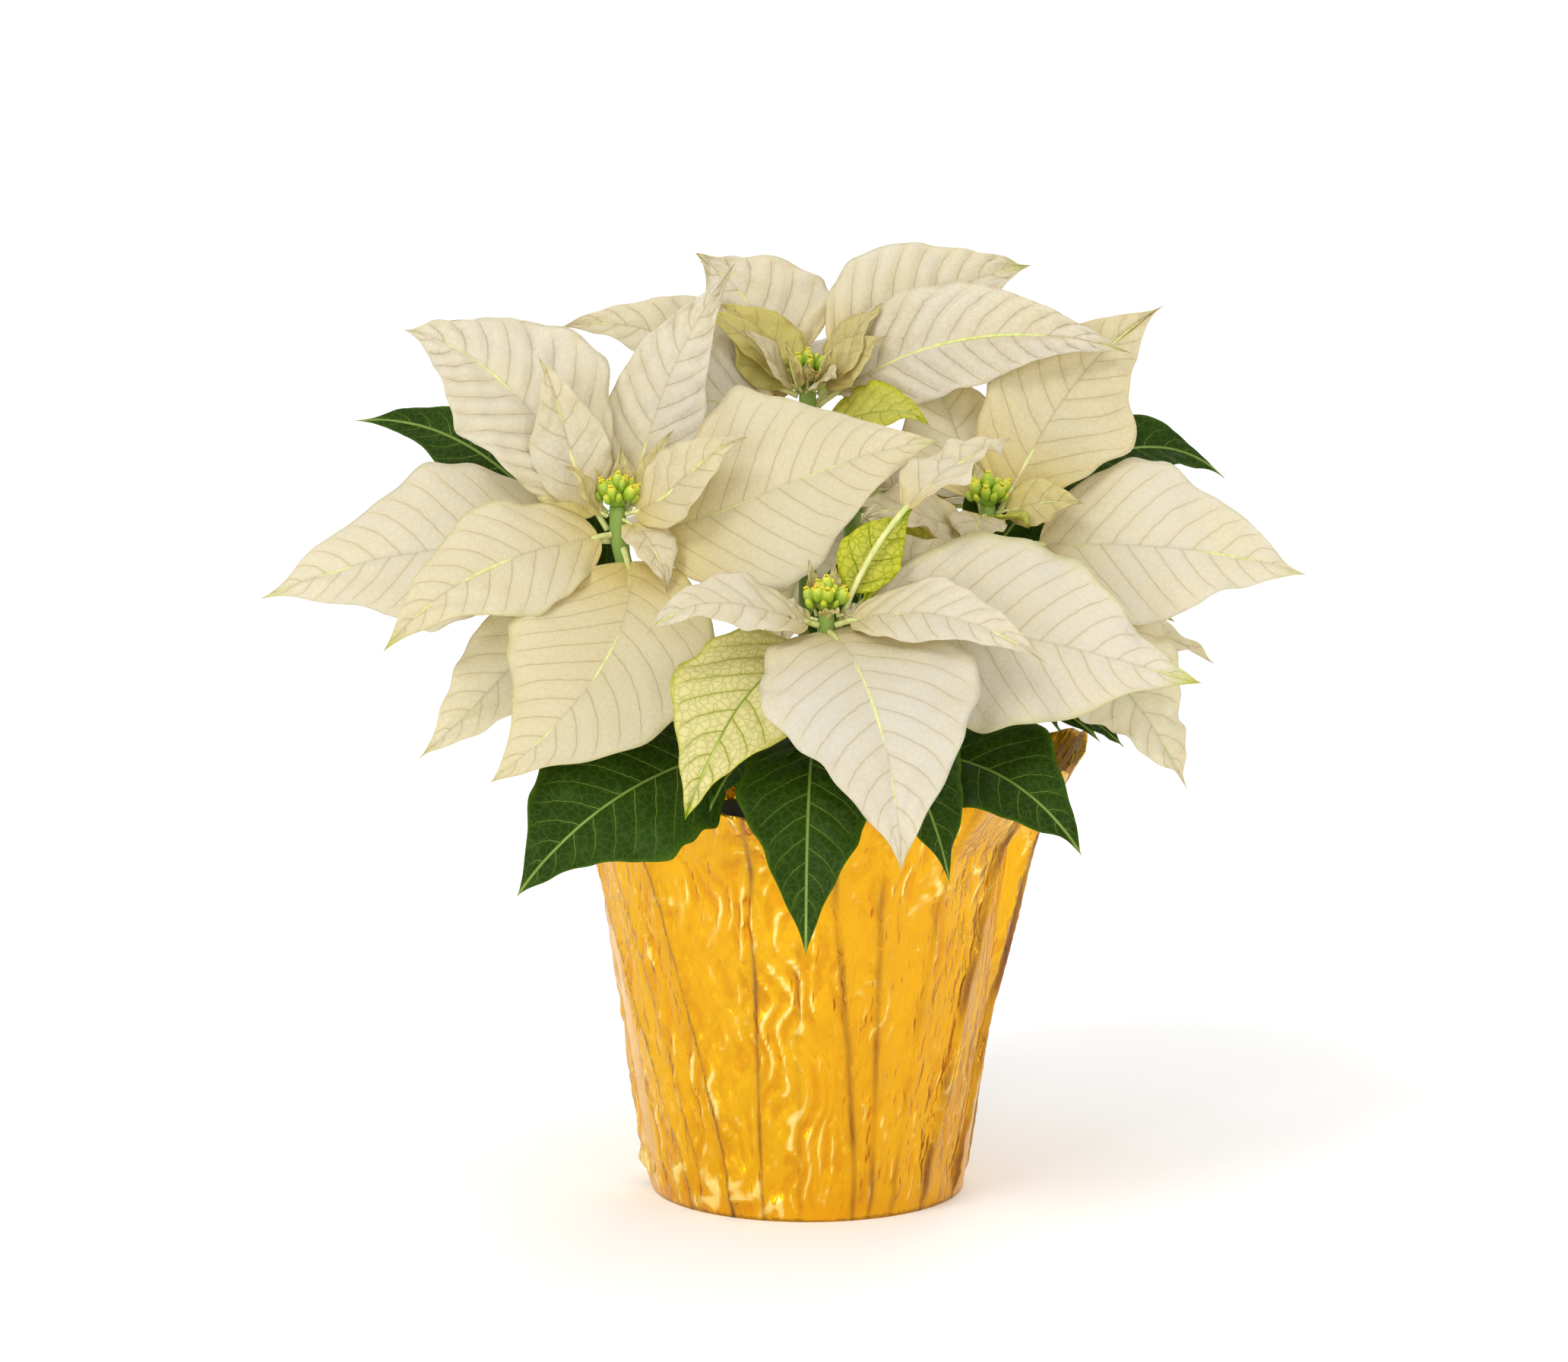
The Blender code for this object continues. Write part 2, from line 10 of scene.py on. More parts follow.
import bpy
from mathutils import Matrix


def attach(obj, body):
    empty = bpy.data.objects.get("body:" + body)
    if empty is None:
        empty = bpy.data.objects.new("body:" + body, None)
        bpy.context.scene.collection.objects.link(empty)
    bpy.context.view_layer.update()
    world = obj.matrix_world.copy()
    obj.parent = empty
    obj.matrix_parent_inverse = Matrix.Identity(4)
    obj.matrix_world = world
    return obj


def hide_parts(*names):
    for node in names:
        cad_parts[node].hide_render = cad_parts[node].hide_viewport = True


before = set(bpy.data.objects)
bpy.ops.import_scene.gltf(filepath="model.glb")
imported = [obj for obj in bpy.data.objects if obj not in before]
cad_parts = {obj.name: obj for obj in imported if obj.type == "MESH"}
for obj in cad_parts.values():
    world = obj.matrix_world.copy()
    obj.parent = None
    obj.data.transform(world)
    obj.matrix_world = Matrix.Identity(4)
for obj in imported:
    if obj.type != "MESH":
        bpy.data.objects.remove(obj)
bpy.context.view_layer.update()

# %% Tools of the lesson
import math
import random

import bmesh
import bpy
import numpy as np
from mathutils import Matrix, Vector, noise

MM = 0.001


def new_mesh(name, points, faces):
    """Mesh from points in millimetres."""
    mesh = bpy.data.meshes.new(name)
    mesh.from_pydata((np.array(points) * MM).tolist(), [], faces)
    return mesh


def shade_smooth(mesh):
    mesh.polygons.foreach_set("use_smooth", [True] * len(mesh.polygons))
    mesh.update()


def finish_piece(name, mesh, looks, node=None):
    """Show a mesh as a piece of the plant in its finishes, in place of a solid if one is named."""
    for look in looks:
        mesh.materials.append(look.material)
    piece = bpy.data.objects.new(name, mesh)
    bpy.context.scene.collection.objects.link(piece)
    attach(piece, "root")
    if node:
        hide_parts(node)
    return piece


print("shapes are drawn in units of", MM, "m")

# %% [markdown]
# ## Node trees in a few words
#
# Every finish here is a small net of shader nodes. Wiring them by hand takes a line for each socket, so a
# short helper class does it: `add` makes a node and fills its sockets, `wire` fills the main shader's, and
# the others do the sums, blends and steps that the finishes need again and again.

# %% Shader helper
class Finish:
    """One material and quick ways to add nodes to it."""

    def __init__(self, name, **shader):
        self.material = bpy.data.materials.new(name)
        self.material.use_nodes = True
        self.tree = self.material.node_tree
        self.shader = self.tree.nodes["Principled BSDF"]
        self.output = self.tree.nodes["Material Output"]
        self.wire(**shader)

    def wire(self, **sockets):
        """Fill sockets of the main shader; their names have underscores for spaces."""
        for socket, value in sockets.items():
            self.feed(self.shader.inputs[socket.replace("_", " ")], value)

    def add(self, kind, sockets=None, **settings):
        node = self.tree.nodes.new("ShaderNode" + kind)
        for key, value in settings.items():
            setattr(node, key, value)
        for socket, value in (sockets or {}).items():
            self.feed(node.inputs[socket], value)
        return node

    def feed(self, socket, value):
        if isinstance(value, bpy.types.NodeSocket):
            self.tree.links.new(value, socket)
        elif isinstance(value, tuple) and len(value) == 3 and len(socket.default_value) == 4:
            socket.default_value = (*value, 1.0)
        else:
            socket.default_value = value

    def sum(self, operation, *values):
        node = self.add("Math", operation=operation)
        for socket, value in zip(node.inputs, values):
            self.feed(socket, value)
        return node.outputs[0]

    def step(self, value, low, high, start=0.0, end=1.0):
        """Smooth step of a value between two limits."""
        sockets = {"Value": value, "From Min": low, "From Max": high, "To Min": start, "To Max": end}
        return self.add("MapRange", sockets, interpolation_type="SMOOTHSTEP").outputs[0]

    def blend(self, share, first, second, how="MIX"):
        node = self.add("Mix", data_type="RGBA", blend_type=how, clamp_factor=True)
        self.feed(node.inputs[0], share)
        self.feed(node.inputs[6], first)
        self.feed(node.inputs[7], second)
        return node.outputs[2]

    def place(self, scale=(1.0, 1.0, 1.0)):
        """Position on the plant, stretched by scale."""
        coordinates = self.add("TexCoord").outputs["Object"]
        return self.add("Mapping", {"Vector": coordinates, "Scale": scale}).outputs[0]

    def cloud(self, scale, detail=3.0, stretch=(1.0, 1.0, 1.0)):
        """Soft noise from 0 to 1, with scale blobs to a metre."""
        sockets = {"Vector": self.place(stretch), "Scale": scale, "Detail": detail, "Roughness": 0.55}
        return self.add("TexNoise", sockets).outputs["Fac"]

    def bump(self, height, distance, strength):
        sockets = {"Height": height, "Distance": distance, "Strength": strength}
        return self.add("Bump", sockets).outputs[0]


# %% [markdown]
# ## Leaf finishes
#
# A leaf is seen by its veins. The mesh of each leaf carries two maps: `veins` holds the count of side veins
# along the blade and the distance from the midrib, and `blade` holds the place along and across the blade.
# The finish draws a thin line wherever the count is a whole number, so every leaf gets veins that fit its
# own shape, which a painted picture would not. A colour attribute, `tint`, says how yellow-green, how warm
# and how veined each spot is; the warmth is partly the leaf's own colour and partly painted warm shade.
# Leaves also let light through, so part of the finish is a Translucent shader.

# %% Bract and leaf finish
def leaf_finish(
    name, field, lime, warm, vein, glow, roughness, gloss, share, mottle, side_share, flush, crinkle,
    line=0.03, net=0.2, hollow=0.0,
):
    """Veined leaf. field, lime, warm and vein are its colours; the tint of the mesh says where they show.

    share is how much light passes through the leaf, and glow its colour there. mottle is how far warm patches
    show, flush how far lime edges the veins, and hollow how far painted warm shade lies along the sunk veins.
    side_share and line set the side veins, net the fine ones between them, gloss the shine and crinkle the
    puckers.
    """
    look = Finish(name, Roughness=roughness, Specular_IOR_Level=gloss)
    maps = look.add("SeparateXYZ", {"Vector": look.add("UVMap", uv_map="veins").outputs[0]})
    blade = look.add("SeparateXYZ", {"Vector": look.add("UVMap", uv_map="blade").outputs[0]})
    tint = look.add("SeparateColor", {"Color": look.add("Attribute", attribute_name="tint").outputs["Color"]})
    yellow, ochre_and_shade, strength = tint.outputs[0], tint.outputs[1], tint.outputs[2]
    lateral = maps.outputs[1]
    across = look.sum("ABSOLUTE", look.sum("MULTIPLY_ADD", blade.outputs[1], 2.0, -1.0))
    wander = look.sum("MULTIPLY", look.sum("SUBTRACT", look.cloud(260.0, 2.0), 0.5), 0.16)
    count = look.sum("ADD", maps.outputs[0], wander)
    past_vein = look.sum("FRACT", look.sum("ADD", count, 0.5))
    from_vein = look.sum("ABSOLUTE", look.sum("SUBTRACT", past_vein, 0.5))
    thin = look.sum("MULTIPLY_ADD", across, -line * 0.5, line)
    side = look.sum("SUBTRACT", 1.0, look.step(look.sum("DIVIDE", from_vein, thin), 0.35, 1.5))
    side = look.sum("MULTIPLY", side, look.step(across, 0.99, 0.7))
    rib = look.step(lateral, 0.055, 0.02)
    cells = look.add("TexVoronoi", {"Vector": look.place(), "Scale": 420.0}, feature="DISTANCE_TO_EDGE")
    small_net = look.sum("MULTIPLY", look.step(cells.outputs["Distance"], 0.12, 0.0), net)
    drawn = look.sum("MAXIMUM", look.sum("MAXIMUM", look.sum("MULTIPLY", side, side_share), rib), small_net)
    drawn = look.sum("MULTIPLY", drawn, strength)
    patches = look.cloud(45.0, 4.0)
    colour = look.blend(look.step(patches, 0.3, 0.75, 0.0, mottle), field, warm)
    # painted warm shade along the sunk vein lines
    colour = look.blend(look.step(from_vein, 0.36, 0.0, 0.0, hollow), colour, warm)
    # the tint's warm share: partly the leaf's own warm colour, partly painted warm shade
    colour = look.blend(ochre_and_shade, colour, warm)
    near_vein = look.step(from_vein, 0.28, 0.0, 0.0, flush)
    colour = look.blend(look.sum("MAXIMUM", yellow, look.sum("MULTIPLY", near_vein, strength)), colour, lime)
    colour = look.blend(drawn, colour, vein)
    puckers = look.cloud(330.0, 3.0)
    relief = look.sum("MULTIPLY_ADD", side, -0.8, look.sum("MULTIPLY", puckers, crinkle))
    relief = look.sum("ADD", relief, look.sum("MULTIPLY", small_net, -0.8))
    normal = look.bump(relief, 0.0005, 0.7)
    look.wire(Base_Color=colour, Normal=normal)
    lit = look.blend(1.0, colour, glow, "MULTIPLY")
    glass = look.add("BsdfTranslucent", {"Color": lit, "Normal": normal})
    both = look.add("MixShader", {0: share, 1: look.shader.outputs[0], 2: glass.outputs[0]})
    look.feed(look.output.inputs["Surface"], both.outputs[0])
    return look


CREAM = dict(
    field=(0.80, 0.775, 0.735), lime=(0.62, 0.64, 0.08), warm=(0.77, 0.66, 0.28), vein=(0.60, 0.50, 0.27),
    glow=(1.0, 0.93, 0.52), roughness=0.5, gloss=0.3, share=0.44, mottle=0.2, side_share=0.22, flush=0.0,
    crinkle=0.9, hollow=0.14,
)
LIME = dict(
    CREAM, field=(0.88, 0.82, 0.42), lime=(0.66, 0.66, 0.03), vein=(0.30, 0.42, 0.0), mottle=0.1,
    side_share=0.8, flush=0.3, net=0.35,
)
SHADE = dict(CREAM, field=(0.84, 0.81, 0.70), warm=(0.78, 0.70, 0.38))
GREEN = dict(
    field=(0.016, 0.040, 0.001), lime=(0.12, 0.27, 0.004), warm=(0.026, 0.070, 0.003),
    vein=(0.25, 0.36, 0.07), glow=(1.0, 1.0, 0.4), roughness=0.5, gloss=0.09, share=0.18, mottle=0.7,
    side_share=0.8, flush=0.06, crinkle=0.9, line=0.024, net=0.1,
)
leaf_looks = {
    "bract_cream": leaf_finish("cream_bract", **CREAM),
    "bract_lime": leaf_finish("lime_bract", **LIME),
    "bract_shade": leaf_finish("shaded_bract", **SHADE),
    "leaf_green": leaf_finish("green_leaf", **GREEN),
}


def stalk_finish(name, pale, green):
    """Smooth stalk, greener in streaks along its length."""
    look = Finish(name, Roughness=0.5, Specular_IOR_Level=0.4)
    streaks = look.cloud(500.0, 3.0, (1.0, 1.0, 0.2))
    colour = look.blend(look.step(streaks, 0.3, 0.7), pale, green)
    look.wire(Base_Color=colour, Normal=look.bump(streaks, 0.0002, 0.4))
    return look


stalk_looks = {
    "bract_cream": stalk_finish("cream_stalk", (0.70, 0.68, 0.30), (0.50, 0.56, 0.16)),
    "bract_lime": stalk_finish("lime_stalk", (0.50, 0.58, 0.12), (0.36, 0.50, 0.06)),
    "bract_shade": stalk_finish("shaded_stalk", (0.58, 0.58, 0.26), (0.40, 0.48, 0.14)),
    "leaf_green": stalk_finish("green_stalk", (0.26, 0.40, 0.08), (0.16, 0.28, 0.04)),
}
print("leaf finishes:", ", ".join(leaf_looks))

# %% [markdown]
# ## Where the leaves go
#
# A leaf is easier to describe in words than in points: how far below the flower cluster its stalk leaves
# the branch, which way it heads, how far out and how high its tip is, how steeply it leaves and how it
# ends, how long its stalk and how wide its blade is. One row holds these numbers for one leaf, in
# millimetres and degrees, and they are the same numbers that the solid model was built from.

# %% Branches
FORK = np.array([0.0, 0.0, 112.0])
CLUSTERS = {
    "left": (-55.0, -20.0, 205.0),
    "front": (5.0, -56.0, 180.0),
    "right": (52.0, -10.0, 204.0),
    "crown": (0.0, 28.0, 236.0),
    "rear": (14.0, 60.0, 204.0),
}
BRANCH_RADII = (3.4, 2.2)
STALK_RADIUS = 1.0
# space left between a stalk and its branch
GAP = 0.3
# length of the midrib curve's end handles as a share of its span, and how steeply the blade folds along it
RIB_PULL = 0.38
FOLD = math.radians(7.0)


def bezier(controls, t):
    """Points and slopes of a cubic curve at the parameters t."""
    a, b, c, d = controls
    t = np.asarray(t, float).reshape(-1, 1)
    s = 1 - t
    points = a * s**3 + b * (3 * s * s * t) + c * (3 * s * t * t) + d * t**3
    return points, (b - a) * (3 * s * s) + (c - b) * (6 * s * t) + (d - c) * (3 * t * t)


def branch_controls(cluster):
    top = np.array(CLUSTERS[cluster])
    side = top - FORK
    return FORK, FORK + side * (0.35, 0.35, 0.22), top - (0.0, 0.0, side[2] * 0.45), top


def branch_radius(t):
    return BRANCH_RADII[0] + (BRANCH_RADII[1] - BRANCH_RADII[0]) * t


def heading_vector(heading, pitch):
    """Unit vector: heading turns from +X towards +Y, pitch lifts it."""
    h, p = math.radians(heading), math.radians(pitch)
    return np.array([math.cos(h) * math.cos(p), math.sin(h) * math.cos(p), math.sin(p)])


def seat_on_branch(cluster, drop):
    """Branch axis point that far below the cluster, with the branch radius and direction there."""
    steps = np.linspace(0.0, 1.0, 401)
    points, _ = bezier(branch_controls(cluster), steps)
    t = float(np.interp(CLUSTERS[cluster][2] - drop, points[:, 2], steps))
    point, slope = bezier(branch_controls(cluster), t)
    return point[0], branch_radius(t), slope[0] / np.linalg.norm(slope[0])


print("branches:", ", ".join(CLUSTERS))

# %% Rows of bracts and leaves
# colour, drop, heading, reach, lift, rise, fall, swing, stalk, width and roll, with bend and belly where they
# differ from USUAL_SHAPE. The first row of bracts on the left branch is the piece bract_left_1, and so on.
USUAL_SHAPE = dict(bend=0.0, belly=0.38)
LEAVES = {
    "left": {
        "bract": [
            ("cream", 10, 175, 105, -18, -2, -24, 0, 13, 54, -50, 0, 0.42),
            ("cream", 8, 213, 78, -28, -4, -45, 0, 4, 36, -48, 0, 0.4),
            ("cream", 7, 160, 67, 56, 55, 10, -4, 12, 46, -47, 0, 0.5),
            ("cream", 2, 170, 23, 45, 40, 60, -7, 4, 24, -66, -0.08),
            ("cream", 5, 32, 42, 73, 40, 45, 40, 6, 30, 46),
            ("cream", 9, 350, 93, 30, 12, 8, 0, 8, 60, 58, 0, 0.42),
            ("cream", 12, 237, 65, -59, -30, -36, 50, 6, 60, -24, 0, 0.48),
            ("shade", 18, 194, 61, -53, -36, -38, 0, 12, 34, -40, 0, 0.45),
        ],
        "leaf": [
            ("green", 44, 148, 110, 62, 50, -8, 0, 24, 34, -48),
            ("green", 65, 161, 65, -15, 24, -56, 1, 14, 40, -5),
        ],
    },
    "front": {
        "bract": [
            ("cream", 8, 354, 106, -11, 12, -14, 0, 8, 60, 60, 0, 0.45),
            ("cream", 4, 332, 69, -6, 20, -30, 0, 5, 24, 38),
            ("cream", 6, 289, 62, -58, -5, -84, 0, 4, 62, 8, 0, 0.4),
            ("lime", 9, 229, 60, -43, -5, -60, 0, 6, 46, -16),
            ("cream", 4, 213, 60, 2, 18, -38, 0, 4, 24, -36),
            ("cream", 5, 20, 56, 52, 72, 12, -13, 42, 24, 14, 0.07),
        ],
        "leaf": [
            ("green", 39, 211, 99, -37, 0, -50, 3, 32, 54, -41, 0, 0.42),
            ("green", 34, 266, 67, -55, 12, -85, -2, 14, 39, 0, 0, 0.4),
            ("green", 28, 305, 61, -43, 10, -70, 0, 14, 34, 8),
            ("green", 46, 323, 92, -19, 14, -52, -1, 22, 41, 34, 0.02, 0.45),
            ("green", 26, 53, 32, 46, 30, 20, 0, 10, 32, 0),
        ],
    },
    "right": {
        "bract": [
            ("cream", 4, 34, 64, 59, 54, 25, 5, 8, 42, 42),
            ("cream", 3, 115, 33, 47, 67, 88, -1, 5, 38, -4, -0.03),
            ("cream", 11, 351, 93, -7, 0, -16, 1, 13, 55, 50, 0, 0.42),
            ("lime", 22, 1, 58, -12, -6, -30, 0, 12, 24, 30, 0.01),
            ("cream", 6, 222, 51, 5, 0, -30, 0, 5, 26, -40),
            ("lime", 11, 231, 57, -12, -19, -59, -4, 10, 28, -62),
            ("shade", 22, 325, 72, -54, -18, -58, 0, 20, 44, 31, 0.01),
            ("shade", 20, 15, 73, -29, -4, -29, 3, 14, 36, 30, -0.07),
        ],
        "leaf": [
            ("green", 52, 347, 59, -17, 15, -40, 0, 12, 30, 20),
            ("green", 34, 35, 99, 35, 71, -43, 16, 16, 40, 54, -0.1),
        ],
    },
    "crown": {
        "bract": [
            ("cream", 4, 185, 73, 21, 23, -10, 0, 10, 30, -60),
            ("cream", 9, 208, 55, 3, 3, -21, 7, 8, 44, -52),
            ("cream", 3, 152, 38, 38, 48, 22, -14, 10, 46, -48, -0.05),
            ("cream", 4, 17, 70, 37, 46, 8, 0, 11, 46, 60, -0.02),
            ("cream", 7, 346, 97, 18, 38, -16, -3, 8, 37, 64, 0.04),
            ("lime", 12, 315, 50, 3, 0, -31, -6, 5, 24, 45, 0.05),
            ("cream", 6, 98, 62, 4, 40, -40, 0, 8, 46, 0),
            ("cream", 8, 60, 76, -8, 30, -25, 0, 8, 50, 10),
            ("cream", 9, 140, 76, -18, 30, -30, 0, 8, 50, -8),
        ],
        "leaf": [
            ("green", 70, 187, 35, 61, 30, 30, 0, 16, 34, 0),
            ("green", 92, 142, 92, -30, 20, -60, 0, 26, 42, -5),
        ],
    },
    "rear": {
        "bract": [
            ("cream", 6, 88, 72, -26, -1, -54, -2, 9, 54, -1, 0.01),
            ("cream", 7, 40, 84, -14, 15, -40, 0, 8, 54, 10),
            ("cream", 8, 135, 84, -18, 17, -53, 0, 8, 54, -10),
            ("cream", 10, 350, 88, -16, 10, -36, -1, 9, 48, -1),
            ("cream", 11, 182, 92, -18, 6, -36, 0, 9, 50, 0),
            ("shade", 13, 65, 62, -48, -10, -70, 0, 9, 46, 0),
            ("shade", 15, 112, 62, -52, -13, -70, 0, 9, 46, 9, -0.01),
        ],
        "leaf": [
            ("green", 52, 84, 56, -48, 22, -70, -2, 14, 44, 0),
            ("green", 60, 30, 84, -24, 20, -55, 0, 18, 42, 5),
        ],
    },
}
print(sum(len(rows) for kinds in LEAVES.values() for rows in kinds.values()), "bracts and leaves")

# %% [markdown]
# ## What makes each leaf its own
#
# Two leaves of one plant never look alike. Some are quilted, with soft pillows between sunk side veins,
# some are nearly flat, some ruffle at the margin, curl at the tip or turn yellow-green there. These touches
# are kept apart from the rows of places, in a small table with one entry for each leaf that differs from
# the usual.

# %% Touches
# quilt to lobes shape the blade, in millimetres or shares of its width, and lime to veins colour it. Each of
# the corners widens one side of the outline: which side, how far along the blade and by how much. The warm
# and root tints are partly the bract's own warm colour and partly painted warm shade, on bracts that lie in
# the shade of others and at the crowded base of the blade.
USUAL = dict(
    quilt=0.8, ruffle=1.3, waves=2.4, camber=0.0, curl=0.0, heart=0.0, crumple=0.6, lobes=0.03,
    lime=0.0, tip=0.15, margin=0.05, warm=0.06, root=0.7, veins=0.45, corners=(),
)
GREEN_USUAL = dict(
    USUAL, ruffle=1.2, crumple=0.3, root=0.0, warm=0.0, veins=0.85, margin=0.3, tip=0.2, lobes=0.045,
)
LIME_USUAL = dict(USUAL, margin=0.85, tip=0.8, veins=0.95, quilt=0.7, root=0.1)
TOUCHES = {
    "bract_left_1": dict(quilt=0.4, camber=2.0, tip=0.6, veins=0.27, corners=((-1, 0.3, 2.5),)),
    "bract_left_2": dict(
        quilt=0.5, warm=0.28, tip=1.0, margin=0.3, veins=0.4, camber=1.0, corners=((1, 0.42, 2.5),),
    ),
    "bract_left_3": dict(
        quilt=2.0, crumple=1.3, veins=0.3, ruffle=1.8,
        corners=((-1, 0.36, 5.0), (-1, 0.72, 3.5), (1, 0.4, -3.0)),
    ),
    "bract_left_4": dict(quilt=0.4, warm=0.25, veins=0.6),
    "bract_left_5": dict(quilt=1.8, crumple=1.4, curl=-6.0, veins=0.3, ruffle=1.6),
    "bract_left_6": dict(
        quilt=0.35, warm=0.34, veins=0.25, tip=0.3, camber=2.5, corners=((1, 0.4, 5.0), (-1, 0.5, 2.0)),
    ),
    "bract_left_7": dict(quilt=0.35, warm=0.42, margin=0.3, root=0.8, veins=0.3, camber=1.5),
    "bract_left_8": dict(quilt=0.35, tip=0.5, veins=0.3),
    "bract_front_1": dict(
        quilt=0.35, margin=0.4, tip=1.0, veins=0.28, camber=2.5, root=0.35, lobes=0.04, ruffle=1.6, waves=3.4,
    ),
    "bract_front_2": dict(quilt=0.6, warm=0.12, veins=0.3),
    "bract_front_3": dict(quilt=0.35, heart=0.16, veins=0.3, camber=1.5, waves=3.4, tip=0.1),
    "bract_front_5": dict(quilt=0.7, warm=0.12, veins=0.3, ruffle=1.5),
    "bract_front_6": dict(quilt=0.6, warm=0.2, veins=0.35, ruffle=3.0, waves=2.0, crumple=1.6, lobes=0.06),
    "bract_right_1": dict(
        quilt=0.9, warm=0.42, crumple=1.2, root=0.8, veins=0.5, corners=((-1, 0.42, 5.0), (1, 0.5, 2.5)),
    ),
    "bract_right_2": dict(quilt=0.5, warm=0.4, root=0.6, veins=0.5),
    "bract_right_3": dict(quilt=0.38, tip=0.5, veins=0.27, camber=2.0, corners=((1, 0.25, 2.5),)),
    "bract_right_4": dict(lime=0.75, veins=0.6),
    "bract_right_5": dict(warm=0.4, crumple=1.8, root=0.4, veins=0.5, ruffle=2.0),
    "bract_right_6": dict(lime=0.8, veins=1.0, quilt=1.6, margin=0.3),
    "bract_right_7": dict(lobes=0.07, waves=4.0, ruffle=1.8, veins=0.3),
    "bract_right_8": dict(veins=0.3),
    "bract_crown_1": dict(quilt=1.2, warm=0.15),
    "bract_crown_2": dict(quilt=1.3, root=0.7),
    "bract_crown_3": dict(quilt=1.8, crumple=1.7, curl=-4.0, root=0.8, veins=0.35, ruffle=2.0),
    "bract_crown_4": dict(quilt=1.8, crumple=1.2, tip=0.9, root=0.8, veins=0.35),
    "bract_crown_5": dict(quilt=2.2, tip=0.4, root=0.3, veins=0.6, crumple=0.9),
    "bract_crown_6": dict(lime=0.8, veins=0.5, quilt=0.5),
}


def touches_for(name, finish):
    usual = {"leaf_green": GREEN_USUAL, "bract_lime": LIME_USUAL}.get(finish, USUAL)
    return dict(usual, **TOUCHES.get(name, {}))


print(len(TOUCHES), "leaves have touches of their own")

# %% [markdown]
# ## One leaf
#
# A blade could be drawn flat and bent with modifiers, but its bends, its folded midrib and its veins depend
# on each other, so the points are worked out directly: a curve for the midrib, a cross direction at each
# place along it, and a small lift for every point across. Arrays of numpy do this for a whole blade at
# once. The blade is a thin closed skin, a third of a millimetre thick and thinner at its margin, and a
# tapering rib runs under it, out of the stalk, as on a real leaf.

# %% Midrib and outline
def leaf_spine(leaf):
    """Function that gives points and directions of the midrib at arc lengths, with the whole length."""
    seat, radius, along = seat_on_branch(leaf["cluster"], leaf["drop"])
    out = leaf["heading"] + leaf["swing"]
    lean = float(heading_vector(out, 0.0) @ along)
    rise = math.radians(leaf["rise"])
    foot = radius / math.sqrt(1 - lean**2) + GAP
    foot += STALK_RADIUS * abs(math.sin(rise) + lean / along[2] * math.cos(rise))
    start = seat + heading_vector(out, 0.0) * foot
    end = seat + heading_vector(leaf["heading"], 0.0) * leaf["reach"] + (0.0, 0.0, leaf["lift"])
    pull = float(np.linalg.norm(end - start)) * RIB_PULL
    bend_out = start + heading_vector(out, leaf["rise"]) * pull
    bend_in = end - heading_vector(leaf["heading"] - leaf["swing"], leaf["fall"]) * pull
    controls = (start, bend_out, bend_in, end)
    steps = np.linspace(0.0, 1.0, 241)
    points, _ = bezier(controls, steps)
    lengths = np.concatenate([[0.0], np.cumsum(np.linalg.norm(np.diff(points, axis=0), axis=1))])
    cross = heading_vector(leaf["heading"] + 90.0, 0.0)

    def spine(arcs, rolls):
        place, slope = bezier(controls, np.interp(arcs, lengths, steps))
        forward = slope / np.linalg.norm(slope, axis=1, keepdims=True)
        up = np.cross(forward, cross)
        up /= np.linalg.norm(up, axis=1, keepdims=True)
        left = np.cross(up, forward)
        r = np.radians(rolls).reshape(-1, 1)
        return place, forward, left * np.cos(r) + up * np.sin(r), up * np.cos(r) - left * np.sin(r)

    return spine, float(lengths[-1])


def half_width(s, belly):
    """Half the blade's width, from 0 to 1: round at the base, drawn out to a point at the tip."""
    base = (1 - (1 - np.minimum(s, belly) / belly) ** 2) ** 0.54
    tip = (1 - (np.maximum(s - belly, 0.0) / (1 - belly)) ** 1.4) ** 1.42
    return np.where(s < belly, base, tip)


print("half width at quarters of a blade:", half_width(np.linspace(0.0, 1.0, 5), 0.38).round(2))

# %% Blade
BLADE_THICK = 0.34
# how far the side veins of one half are set off from those of the other, as a share of their spacing
VEIN_SHIFT = 0.42


def vein_count(s, y, length, across, veins):
    """Number of side veins up to a point; the veins slant towards the tip and bend at the margin."""
    return veins * (s - 0.62 * np.abs(y) / length - 0.07 * across**2) + 0.3


def lift_of_blade(s, v, y, count, touch, rng, width):
    """How far the skin stands above the folded cross line, in millimetres."""
    edge = np.abs(v)
    pillow = np.abs(np.sin(np.pi * count)) ** 0.8 - 0.4
    inward = (1 - np.exp(-((y / 2.2) ** 2))) * (1 - 0.7 * edge**4)
    lift = touch["quilt"] * pillow * inward - 0.3 * np.exp(-((y / 1.0) ** 2))
    ends = np.clip(s / 0.12, 0.0, 1.0) * np.clip((1 - s) / 0.1, 0.0, 1.0)
    size = touch["ruffle"] * min(1.0, width / 40.0)
    for side in (-1.0, 1.0):
        phases = [rng.uniform(0.0, 2 * math.pi) for _ in range(3)]
        wave = np.sin(2 * np.pi * touch["waves"] * s + phases[0])
        wave = wave + 0.45 * np.sin(2 * np.pi * 2.3 * touch["waves"] * s + phases[1])
        lift = lift + np.where(v * side > 0, size * edge**2.4 * wave * ends, 0.0)
        swell = 0.35 * np.sin(np.pi * 2.0 * s + phases[2]) * edge * ends
        lift = lift + np.where(v * side > 0, swell, 0.0)
    lift = lift - touch["camber"] * edge**2 * np.sin(np.pi * np.clip(s, 0.0, 1.0)) ** 0.7
    lift = lift - touch["curl"] * np.clip((s - 0.72) / 0.28, 0.0, 1.0) ** 2
    for _ in range(6):
        a, b = rng.uniform(8.0, 30.0), rng.uniform(-9.0, 9.0)
        bend = np.sin(a * s + b * v + rng.uniform(0.0, 6.3) + 1.3 * np.sin(5.0 * v + 7.0 * s))
        lift = lift + touch["crumple"] * 4.0 / (a + 6.0) * bend * ends
    return lift


